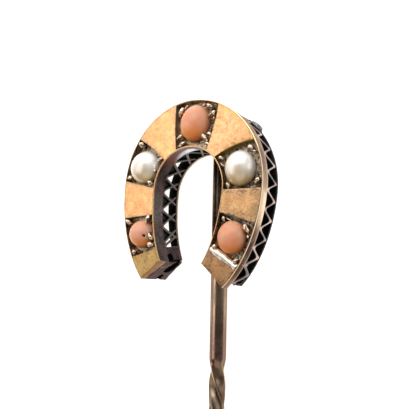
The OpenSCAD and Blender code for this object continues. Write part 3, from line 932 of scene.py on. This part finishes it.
# Marks the upper quads of a slab with a slot where the value at their corners is over a half
def markQuads(shell, value, slot):
    corners = value.ravel()[shell["quads"][:len(shell["quads"]) // 2]]
    shell["slots"][:len(corners)] = np.where(corners.mean(1) > 0.5, slot, shell["slots"][:len(corners)])
    return shell


# The wall left unpierced near a leg's end, a lumpy sheet with a painted highlight along its borders and one
# hole painted black as shade
def endPlate(side, share, fromAngle, bright, hole, top=None):
    rows, columns = heels["plateSteps"]
    along = np.linspace(0, 1, rows)[:, None]
    angle = side * (fromAngle + (head["heelAngle"] * heels["reach"] - fromAngle) * along)
    t = np.linspace(0, 1, columns)[None, :]
    back = plateBack(share) - gallery["sinkIn"] if top is None else top
    level = back + (ringFront + gallery["sinkIn"] - back) * t + 0 * angle
    inward = (1 if share < 0.5 else -1) / legWidth(angle)
    border = np.zeros(level.shape)
    border[:2] = border[:, [0, 1, -2, -1]] = 1
    holeAlong, holeAcross, halfLong, halfWide = hole
    away = np.hypot((along - holeAlong) / halfLong, (t - holeAcross) / halfWide)
    size, fastAcross, fastAlong = heels["holeWaves"]
    away = away * (1 + size * np.sin(fastAcross * t + fastAlong * along))
    dent = 1 - smoothStep(*heels["holeEdge"], away)
    size, fastAlong, fastDeep = heels["lumps"]
    lumps = size * np.sin(fastAlong * angle) * np.sin(fastDeep * level) + heels["dent"] * dent
    outside = headPoint(share + inward * (lumps * (1 - border)), angle, level)
    inside = headPoint(share + inward * heels["plateThick"], angle, level)
    shell = slab(outside, inside, bright * (heels["inBorder"] + (1 - heels["inBorder"]) * border))
    return markQuads(shell, dent * (1 - border), heels["holeSlot"])


# A wall over the leg's end with rounded corners and two recesses, seen from below: the recesses are painted
# black as shade, and the face and a ridge carry a painted highlight.
# In the left leg it also covers the back of the plate's end. Its outside and inside are angles past the
# leg's end
def heelWall(side):
    leg = 0 if side < 0 else 1
    rows, columns = heels["wallSteps"]
    share = np.linspace(*heels["shares"], columns)[None, :]
    top, bottom = heels["topLevels"][leg], head["depth"] - heels["ringIn"]
    level = np.linspace(top, bottom, rows)[:, None] + 0 * share
    width = legWidth(np.array(head["heelAngle"]))
    dent = np.zeros(level.shape)
    size, fastAcross, fastDeep = heels["recessWaves"]
    for middle, across, middleLevel, deep in heels["holes"]:
        away = np.hypot((share - middle) * width / across, (level - middleLevel) / deep)
        away = away * (1 + size * np.sin(fastAcross * share + fastDeep * level))
        dent = np.maximum(dent, 1 - smoothStep(*heels["recessEdge"], away))
    perDegree = np.linalg.norm(np.diff(outerEdge(np.array([140.0, 141.0])), axis=0))
    fromMiddle = np.abs(level - (top + bottom) / 2) / (bottom - top) * 2
    toCorner = np.maximum(fromMiddle - heels["cornerFrom"], 0) / (1 - heels["cornerFrom"])
    rounded = 1 - np.sqrt(1 - np.minimum(toCorner, 1) ** 2)
    outside = side * (head["heelAngle"] + heels["past"][leg] - heels["cornerBack"][leg] * rounded)
    carved = dent * smoothStep(head["plateDepth"], head["plateDepth"] + heels["carveOver"], level)
    size, fastAcross, fastDeep = heels["endLumps"]
    lumps = size * np.sin(fastAcross * share * width + 2 * side) * np.cos(fastDeep * level)
    angle = outside - side * (heels["recessDeep"] * carved + lumps) / perDegree
    inside = outside - side * heels["thick"] / perDegree + 0 * share
    foot, slope, halfWide, footShare, lastShare = heels["ridge"]
    ridge = np.exp(-(((level - foot - slope * (footShare - share)) / halfWide) ** 2)) * (share < lastShare)
    dirtAndPaintedLight = heels["faceBright"] * (1 - dent) ** 2 + heels["ridgeBright"] * ridge * (1 - dent)
    dirtAndPaintedLight = np.clip(dirtAndPaintedLight, 0, 1) * heels["bright"][leg]
    shell = slab(headPoint(share, angle, level), headPoint(share, inside, level), dirtAndPaintedLight)
    return markQuads(shell, dent, heels["holeSlot"])


# The ribbon, pairs of crossing bars with their webs, and the walls at both heels, as one object
def makeGallery():
    shells = [zigzag()]
    apexes = evenAngles(innerEdge, gallery["barCount"] + 1) * gallery["reach"]
    limit = apexes[-1]
    for first, second in zip(apexes[1:-2], apexes[2:-1]):
        step = gallery["barReach"] * (second - first)
        shells.append(latticeBar(first, np.clip(first + step, -limit, limit)))
        shells.append(latticeBar(second, np.clip(second - step, -limit, limit)))
    lastFrom, lastTo = gallery["lastBar"]
    shells += [latticeBar(side * lastFrom, side * lastTo) for side in (-1, 1)]
    webs = [latticeWeb(first, second) for first, second in zip(apexes[:-1], apexes[1:])]
    walls = []
    for side in (-1, 1):
        inset, outerTop = gallery["inset"], heels["topLevels"][1] if side > 0 else None
        walls.append(heelWall(side))
        walls.append(endPlate(side, inset, heels["innerFrom"], heels["innerBright"], heels["innerHole"]))
        walls.append(endPlate(side, 1 - inset, heels["outerFrom"], heels["outerBright"],
                              heels["outerHole"], outerTop))
    for slot, group in ((1, walls), (2, webs)):
        for shell in group:
            shell["slots"] = shell["slots"] + slot
    # Slots: dark gallery metal with painted highlights, heel walls with theirs, near-black painted shade
    # for the webs and black painted shade for the recesses
    materials = [golds["oxideShadeAndHighlightGold"], golds["heelEnd"], golds["blackOxideAndPaintedShade"], heelShadeBlack]
    return buildPiece("pierced_gallery", shells + walls + webs, materials)


# Back ring: an inner and an outer rail with a slot between them, joined at the heels
ring = {
    "reach": 0.988, "slot": (0.27, 0.47), "slotReach": 0.96, "rows": 320, "round": 0.05,
    "unevenness": 0.01, "rippleWave": 2.9, "overlap": 0.03, "endSteps": 12, "endBack": 0.3,
}


# A flat bar with rounded corners between two shares of the leg's width
def rail(low, high, angle):
    width = legWidth(angle)[:, None]
    r = ring["round"]
    shareSide = np.array([0, 0, 0, 0, 1, 1, 1, 1, 1, 0])
    inward = np.array([0, 0, 0.3 * r, r, -r, -0.3 * r, 0, 0, -r, r])
    half = [ringFront + r, ringFront + 0.3 * r, ringFront]
    level = np.array([head["depth"] - r, *half, *half[::-1], head["depth"] - r] + [head["depth"]] * 2)
    share = low + (high - low) * shareSide[None, :] + inward[None, :] / width
    points = headPoint(share, angle[:, None], level[None, :] + 0 * width)
    points[..., 1] -= np.abs(ripple(points, ring["unevenness"], ring["rippleWave"]))
    # The faces towards the plate take the near-black painted shade
    return tube(points, materials=[0, 0, 1, 1, 1, 1, 1, 0, 0, 0])


# The two rails, and a short wide one that joins them at each heel
def makeRing():
    reach = head["heelAngle"] * ring["reach"]
    slotEnd = reach * ring["slotReach"]
    whole = np.linspace(-reach, reach, ring["rows"])
    slotFrom, slotTo = ring["slot"]
    shells = [rail(0, slotFrom, whole), rail(slotTo, 1, whole)]
    for side in (-1, 1):
        end = np.sort(side * np.linspace(slotEnd, reach - ring["endBack"], ring["endSteps"]))
        shells.append(rail(slotFrom - ring["overlap"], slotTo + ring["overlap"], end))
    return buildPiece("back_ring", shells, [golds["ringGold"], golds["blackOxideAndPaintedShade"]])


# Oval solder pad: a low lumpy mound over the ring, thick where it meets the stem
pad = {
    "middle": 0.02, "width": 6.44, "height": 2.0, "thick": 0.3, "level": 4.05, "turns": 96, "rings": 20,
    "lumps": 0.05, "lumpWaves": (1.1, 0.43), "sinkIn": 0.05, "edgePower": 0.5, "topPower": 0.7,
}


# An oval drum whose edge and faces are rounded by powers of sine and cosine, with lumps outwards
def makePad():
    turn = np.linspace(0, 2 * np.pi, pad["turns"], endpoint=False)[None, :]
    t = np.linspace(0, np.pi, pad["rings"])[:, None]
    across = np.sin(t) ** pad["edgePower"]
    deep = -np.sign(np.cos(t)) * np.abs(np.cos(t)) ** pad["topPower"]
    x = pad["middle"] + pad["width"] / 2 * across * np.cos(turn)
    z = pad["level"] + pad["height"] / 2 * across * np.sin(turn)
    y = head["depth"] - pad["sinkIn"] + pad["thick"] * (0.5 + 0.5 * deep) + 0 * turn
    points = np.stack([x, y, z], -1)
    broad, fine = pad["lumpWaves"]
    lump = ripple(points, pad["lumps"], broad) + ripple(points, pad["lumps"] / 2, fine)
    points[..., 1] -= np.abs(lump) * np.sin(t)
    points[..., 0] -= np.abs(lump) * np.sign(x - pad["middle"])
    points[..., 2] -= np.abs(lump) * np.sign(z - pad["level"])
    return buildPiece("solder_pad", [tube(points)], [golds["greySolder"]], sharpAngle=180)


galleryPiece = makeGallery()
ringPiece = makeRing()
padPiece = makePad()
print("gallery, ring and pad made")


# Grains: bright irregular beads at the corners of a cell, drawn out towards the stone
grains = {
    "radius": 0.155, "rings": 12, "turns": 18, "lift": 0.06, "under": 0.12, "seed": 7,
    "oval": 0.2, "knobs": 0.16, "dome": 1.25, "foot": 0.03, "uneven": 0.1,
}
grainPlaces = {
    # share of the leg's width, share along the cell, size, stretch, turn in degrees
    "top": [(0.80, 0.14, 1.1, 1.7, 60), (0.88, 0.80, 1.1, 1.2, 0), (0.76, 0.92, 1.0, 1.3, 40),
            (0.26, 0.13, 1.0, 1.4, 20), (0.24, 0.84, 1.3, 1.7, -35), (0.34, 0.93, 0.9, 1.2, 0),
            (0.10, 0.20, 0.9, 1.5, 0), (0.07, 0.12, 0.7, 2.2, 10), (0.14, 0.95, 0.8, 1.3, 0),
            (0.86, 0.24, 0.6, 1.8, 50), (0.74, 0.10, 0.6, 1.6, 80), (0.88, 0.66, 0.6, 1.4, 20),
            (0.70, 0.84, 0.7, 1.5, 60), (0.66, 0.95, 0.55, 1.4, 80)],
    "leftPearl": [(0.86, 0.92, 1.1, 1.3, 30), (0.86, 0.10, 1.0, 1.2, -30), (0.14, 0.90, 1.0, 1.3, 0),
                  (0.13, 0.52, 0.8, 1.1, 0), (0.16, 0.12, 1.1, 1.5, 30)],
    "rightPearl": [(0.83, 0.14, 1.0, 1.4, 30), (0.86, 0.86, 1.1, 1.3, -40), (0.13, 0.12, 0.9, 1.1, 0),
                   (0.15, 0.90, 1.0, 1.4, 30), (0.88, 0.24, 0.6, 1.6, 60), (0.08, 0.30, 0.6, 1.8, 10)],
    "leftCoral": [(0.86, 0.90, 1.1, 1.5, 30), (0.84, 0.10, 1.0, 1.3, -30), (0.18, 0.90, 1.2, 1.6, -20),
                  (0.14, 0.40, 1.2, 1.3, 10), (0.19, 0.16, 1.3, 1.4, 40)],
    "rightCoral": [(0.80, 0.15, 1.5, 1.3, 30), (0.90, 0.30, 0.6, 1.6, 20), (0.30, 0.10, 0.6, 2.2, 70),
                   (0.85, 0.88, 0.9, 1.2, -30), (0.16, 0.12, 0.8, 1.3, 0), (0.14, 0.88, 0.9, 1.2, 30)],
}


# A sphere made oval and knobbly by sines of its turn, drawn down to the floor of the cell
def makeGrain(ends, place, chance):
    share, along, size, stretch, turnBy = place
    tilt = np.linspace(0, np.pi, grains["rings"])[:, None]
    turn = np.linspace(0, 2 * np.pi, grains["turns"], endpoint=False)[None, :]
    radius = grains["radius"] * size
    wobble = chance.uniform(0, 2 * np.pi, 4)
    swell = 1 + grains["oval"] * np.sin(2 * turn + wobble[0]) * np.sin(tilt)
    swell = swell + grains["knobs"] * np.sin(3 * turn + wobble[1] + 2 * tilt)
    u = radius * stretch * np.sin(tilt) * np.cos(turn) * swell
    v = radius / stretch ** 0.5 * np.sin(tilt) * np.sin(turn) * swell
    up = np.where(np.cos(tilt) > 0, grains["dome"] * radius, head["cellDepth"] + grains["foot"])
    up = up * np.cos(tilt) * (1 + grains["uneven"] * np.sin(turn + wobble[2]))
    middleAngle = cellAngle(ends, share, along)
    below = grains["under"] - grains["lift"] * size
    centre = facePoint(share, middleAngle, below)
    ahead = facePoint(share, middleAngle + 1, below)
    alongAxis = (ahead - centre) / np.linalg.norm(ahead - centre)
    outward = np.cross(alongAxis, [0, 1, 0])
    turned = np.radians(turnBy)
    axisU = alongAxis * np.cos(turned) + outward * np.sin(turned)
    axisV = outward * np.cos(turned) - alongAxis * np.sin(turned)
    points = centre + u[..., None] * axisU + v[..., None] * axisV - up[..., None] * np.array([0, 1.0, 0])
    return tube(points)


# All grains as one object, with a fixed seed for their wobble
def makeGrains():
    chance = np.random.default_rng(grains["seed"])
    shells = [makeGrain(cells[name], place, chance)
              for name, places in grainPlaces.items() for place in places]
    return buildPiece("setting_grains", shells, [golds["brightGrain"]], sharpAngle=180)


grainPiece = makeGrains()


# Polished bevel along the heel panel's upper edge in the right leg, a wavy three-sided strip, its
# near-white colour a painted highlight
bevel = {
    "from": 0.06, "to": 0.95, "onPanel": 0.15, "intoCell": 0.21, "proud": 0.035, "steps": 60,
    # each wave of its width: size, how fast it runs along the edge, and its start
    "width": 1.2, "waves": [(0.2, 9, 4), (0.08, 27, 1)],
}


# A closed section of eight points across the panel's edge, its width following two sine waves
def makeBevel():
    share = np.linspace(bevel["from"], bevel["to"], bevel["steps"])
    angle = cellAngle(cells["rightCoral"], share, 1.0)
    onFace = facePoint(share, angle, 0.0)
    along = facePoint(share, angle + 1, 0.0) - onFace
    along /= np.linalg.norm(along, axis=-1)[:, None]
    wave = bevel["width"] + sum(size * np.sin(share * fast + start) for size, fast, start in bevel["waves"])
    onPanel, intoCell, proud = bevel["onPanel"], bevel["intoCell"], bevel["proud"]
    section = [(onPanel, 0.05), (onPanel, -0.3 * proud), (0.75 * onPanel, -proud), (0, -proud),
               (-0.5 * intoCell, 0.03), (-intoCell, 0.2), (-0.8 * intoCell, 0.36), (0.05, 0.36)]
    rows = [onFace + along * (ahead * wave)[:, None] + np.array([0, 1.0, 0]) * level
            for ahead, level in section]
    return buildPiece("heel_bevel", [tube(np.stack(rows, 1))], [golds["polishAndPaintedHighlight"]])


bevelPiece = makeBevel()
print("grains and bevel made")


# Stem: round wire, four-edged and twisted left-handed for a stretch, then round again to the point
stem = {
    "top": 4.9, "twistFrom": 10.8, "twistLength": 12.1, "pitch": 9.3, "down": 56.5, "pointLength": 5,
    "neckHalf": 0.76, "squareHalf": 0.88, "neckTo": (1.0, 2.6), "fade": 0.75, "turns": 72,
    "pointRadius": 0.05, "tipRadius": 0.02, "taperPower": 1.15, "turned": np.radians(13.7),
    "groove": 0.05, "grooveAt": np.radians(37), "grooveWide": np.radians(6), "sharpness": 50,
    # the top's rounding: height, radius at the end, rings, and rings of the four stretches below it
    "topRound": 0.1, "topRadius": 0.82, "topRings": 6, "rings": (40, 280, 60, 50),
    # the bright edges of the twist: from and to in degrees off a face's middle, and how much
    "edgeFrom": 38, "edgeTo": 44, "edgeBright": 0.55,
    # a painted glint along one facet: its level, half length, angle round the wire and half width
    "glintAt": -13.8, "glintLong": 0.6, "glintTurn": np.radians(-68), "glintWide": 0.2,
    "bend": 0.008, "bendWave": 5.3,
}


# Round sections carried down the wire. In the twist the radius is the smaller of the wire's own and
# that of a turning square, softly joined by a logarithm of exponents
def makeStem():
    radius, top, point = pose["radius"], stem["top"], stem["pointLength"] - stem["down"]
    twistFrom, twistTo = -stem["twistFrom"], -stem["twistFrom"] - stem["twistLength"]
    topTurn = np.linspace(0, np.pi / 2, stem["topRings"])
    upper, twisted, shank, tapered = stem["rings"]
    stations = np.concatenate([
        top - stem["topRound"] * (1 - np.cos(topTurn)),
        np.linspace(top - 2 * stem["topRound"], twistFrom + 0.5, upper),
        np.linspace(twistFrom + 0.4, twistTo - 0.4, twisted),
        np.linspace(twistTo - 0.6, point, shank),
        np.linspace(point - 0.1, -stem["down"] + stem["tipRadius"], tapered),
        [-stem["down"]],
    ])[:, None]
    endRound = np.ones_like(stations)
    endRound[:len(topTurn), 0] = stem["topRadius"] + (1 - stem["topRadius"]) * np.sin(topTurn)
    taper = np.clip((stations + stem["down"]) / stem["pointLength"], 0, 1)
    thin = stem["pointRadius"] + (radius - stem["pointRadius"]) * (1 - (1 - taper) ** stem["taperPower"])
    thin[-1] = stem["tipRadius"]
    turn = np.linspace(0, 2 * np.pi, stem["turns"], endpoint=False)[None, :]
    squared = smoothStep(twistFrom, twistFrom - stem["fade"], stations)
    squared = squared * smoothStep(twistTo, twistTo + stem["fade"], stations)
    spin = stem["turned"] - 2 * np.pi * (stations - twistTo) / stem["pitch"]
    local = (turn - spin + np.pi / 4) % (np.pi / 2) - np.pi / 4
    neckFrom, neckTo = stem["neckTo"]
    fromNeck = smoothStep(twistFrom - neckFrom, twistFrom - neckTo, stations)
    half = stem["neckHalf"] + (stem["squareHalf"] - stem["neckHalf"]) * fromNeck
    flat, sharp = half / np.cos(local), stem["sharpness"]
    squareRadius = -np.log(np.exp(-sharp * flat) + np.exp(-sharp)) / sharp
    groove = np.exp(-((local - stem["grooveAt"]) / stem["grooveWide"]) ** 2) * fromNeck
    squareRadius = squareRadius - stem["groove"] * groove
    reach = thin * endRound * (1 - squared + squared * squareRadius)
    edge = smoothStep(np.radians(stem["edgeFrom"]), np.radians(stem["edgeTo"]), np.abs(local))
    # A painted glint along one facet of the twist
    fromGlint = stations - stem["glintAt"]
    around = turn - stem["glintTurn"] + 2 * np.pi * fromGlint / stem["pitch"]
    across = (1 - np.cos(around)) / stem["glintWide"] ** 2
    glint = np.exp(-across - (fromGlint / stem["glintLong"]) ** 2)
    bright = np.maximum(edge * squared * stem["edgeBright"], glint)
    points = np.stack([reach * np.cos(turn), reach * np.sin(turn), stations + 0 * turn], -1)
    points[..., 0] += stem["bend"] * (1 + np.sin(stations / stem["bendWave"]))
    return buildPiece("stem", [tube(points, value=bright)], [golds["wireGold"]], 60, layDown)


stemPiece = makeStem()
print("stem made")


# Stones: a dome on a short girdle, each with its outline in millimetres
stones = {
    "rings": 90, "turns": 128, "dome": 0.84, "girdle": 0.25, "gap": 0.06, "share": 0.52,
    # rings up to this share are the back and the girdle, and the dome stops just short of its pole
    "girdleRings": 0.16, "poleReach": 0.995, "backReach": (0.02, 0.9, 0.97, 1.0), "backEdge": 0.03,
    # unevenness of the dome, then where the painted shade comes in low on pearls and corals, and how much
    # amber it brings on a coral
    "unevenness": 0.012, "pearlLow": (-0.1, 0.8), "coralLow": (-0.1, 0.95), "coralAmber": 0.4,
}
stoneRows = {
    # across, above the widest level, width, height, cell, material
    "coral_top": (-0.19, 4.01, 1.95, 2.4, "top", coralStone),
    "pearl_left": (-3.62, 1.06, 2.15, 2.15, "leftPearl", pearlStone),
    "pearl_right": (3.42, 1.16, 1.95, 2.25, "rightPearl", pearlStone),
    "coral_left": (-3.34, -3.28, 1.75, 1.75, "leftCoral", coralStone),
    "coral_right": (3.3, -3.19, 1.8, 2.05, "rightCoral", coralStone),
}
drillHole = {
    "stone": "coral_left", "across": 0.60, "along": -0.13, "radius": 0.085, "deep": 0.4,
    "from": 0.6, "to": 1.25, "darkFrom": 0.05, "darkTo": 0.4,
}


# The axes of a stone in its cell: outwards from the face, and the photo's right and up on it
def stoneAxes(cell):
    outerFrom, outerTo, innerFrom, innerTo = cells[cell]
    across = outerEdge(np.array((outerFrom + outerTo) / 2)) - innerEdge(np.array((innerFrom + innerTo) / 2))
    span = np.linalg.norm(across)
    outward = np.array([across[0], 0, across[1]]) / span
    slope = np.arctan2(head["faceSlope"], span)
    normal = np.array([0, -1.0, 0]) * np.cos(slope) + outward * np.sin(slope)
    acrossAxis = outward * np.cos(slope) + np.array([0, 1.0, 0]) * np.sin(slope)
    alongAxis = np.cross(normal, acrossAxis)
    toSide = np.arctan2(across[1], across[0])
    right = acrossAxis * np.cos(toSide) - alongAxis * np.sin(toSide)
    upward = acrossAxis * np.sin(toSide) + alongAxis * np.cos(toSide)
    return normal, right, upward if upward[2] > 0 else -upward


# The dome's width follows the cosine and its height the sine of one angle, over a straight girdle
def makeStone(name):
    x, z, width, height, cell, material = stoneRows[name]
    normal, right, upward = stoneAxes(cell)
    foot = -(head["cellDepth"] - stones["gap"])
    t, girdleTo = np.linspace(0, 1, stones["rings"])[:, None], stones["girdleRings"]
    lift = stones["poleReach"] * np.pi / 2 * np.clip((t - girdleTo) / (1 - girdleTo), 0, 1)
    reach = np.cos(lift)
    reach[:len(stones["backReach"]), 0] *= stones["backReach"]
    level = np.where(t < girdleTo, foot + (-stones["girdle"] - foot) * t / girdleTo,
                     -stones["girdle"] + stones["dome"] * np.sin(lift))
    level[:2] = foot
    level[2] = foot + stones["backEdge"]
    turn = np.linspace(0, 2 * np.pi, stones["turns"], endpoint=False)[None, :]
    u = width / 2 * reach * np.cos(turn)
    v = height / 2 * reach * np.sin(turn)
    up = level + 0 * turn
    # Painted shade towards the lower rim: amber on a coral, golden on a pearl. The drill hole is sunk and
    # painted dark as its shade
    if "coral" in name:
        value = stones["coralAmber"] * smoothStep(*stones["coralLow"], -v / (height / 2))
    else:
        value = smoothStep(*stones["pearlLow"], -v / (height / 2))
    if name == drillHole["stone"]:
        away = np.hypot(u - drillHole["across"], v - drillHole["along"]) / drillHole["radius"]
        hole = np.where(up > 0, 1 - smoothStep(drillHole["from"], drillHole["to"], away), 0)
        up = up - drillHole["deep"] * hole
        value = np.maximum(value, smoothStep(drillHole["darkFrom"], drillHole["darkTo"], hole))
    up = up + stones["unevenness"] * np.sin(2 * turn + 1.3 * len(name)) * np.sin(2 * lift)
    centre = np.array([x, head["faceSlope"] * stones["share"], z])
    points = centre + u[..., None] * right + v[..., None] * upward + up[..., None] * normal
    stone = buildPiece(name + "_stone", [tube(points, value=value)], [material], 180)
    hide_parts(name)


for name in stoneRows:
    makeStone(name)
print("stones made")

goldPieces = [
    frontPlate, *panelPieces, galleryPiece, ringPiece, padPiece, grainPiece, bevelPiece, stemPiece,
]
for piece in goldPieces:
    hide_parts("pin_body")


# Pale floor and soft studio light
studio = {
    "floorSize": 1.2, "floorColour": (0.55, 0.55, 0.55), "floorGlow": 0.92,
    "floorRough": 0.8, "overhead": 0.10, "horizon": 0.55, "glowLevels": (-0.3, 0.9),
}
lamps = {
    # direction to the lamp, distance, width, height, radiance, colour
    "leftBox": ((-0.80, 0.15, 0.58), 0.42, 0.42, 0.30, 2.0, (1.0, 0.985, 0.96)),
    "topBox": ((-0.12, 0.84, 0.54), 0.42, 0.54, 0.30, 2.3, (1.0, 0.995, 0.99)),
    "frontFill": ((0.06, -0.70, 0.70), 0.50, 0.62, 0.36, 0.8, (1.0, 0.86, 0.68)),
    "rightFill": ((0.90, 0.25, 0.36), 0.45, 0.22, 0.18, 2.0, (1.0, 0.99, 0.98)),
}


# A glowing floor, a room that brightens towards the far side, and rectangular lamps aimed at the head
def makeStudio():
    half = studio["floorSize"] / 2
    mesh = bpy.data.meshes.new("floor")
    corners = [(-half, -half, 0), (half, -half, 0), (half, half, 0), (-half, half, 0)]
    mesh.from_pydata(corners, [], [(0, 1, 2, 3)])
    material, _, surface = startMaterial("paleFloor", Roughness=studio["floorRough"])
    surface.inputs["Base Color"].default_value = (*studio["floorColour"], 1)
    surface.inputs["Emission Color"].default_value = (1, 1, 1, 1)
    surface.inputs["Emission Strength"].default_value = studio["floorGlow"]
    mesh.materials.append(material)
    floor = bpy.data.objects.new("floor", mesh)
    bpy.context.collection.objects.link(floor)
    world = bpy.data.worlds.new("softRoom")
    world.use_nodes = True
    tree = world.node_tree
    way = addNode(tree, "ShaderNodeSeparateXYZ", inputs={
        "Vector": addNode(tree, "ShaderNodeTexCoord").outputs["Generated"]}).outputs
    glow = mapRange(tree, way["Y"], *studio["glowLevels"], studio["overhead"], studio["horizon"])
    tree.links.new(glow, tree.nodes["Background"].inputs["Strength"])
    tree.nodes["Background"].inputs["Color"].default_value = (1, 0.99, 0.975, 1)
    bpy.context.scene.world = world
    target = placeHead(np.array([0, 1.0, 0]))
    for name, (direction, distance, width, height, radiance, colour) in lamps.items():
        data = bpy.data.lights.new(name, "AREA")
        data.shape = "RECTANGLE"
        data.size, data.size_y = width, height
        data.energy = radiance * np.pi * width * height
        data.color = colour
        lamp = bpy.data.objects.new(name, data)
        bpy.context.collection.objects.link(lamp)
        way = np.array(direction) / np.linalg.norm(direction)
        side = np.cross([0, 0, 1.0], way)
        side /= np.linalg.norm(side)
        lamp.matrix_world = placeMatrix((side, np.cross(way, side), way), target + way * distance)


makeStudio()
bpy.context.scene.view_settings.view_transform = "Standard"
print("studio lit")
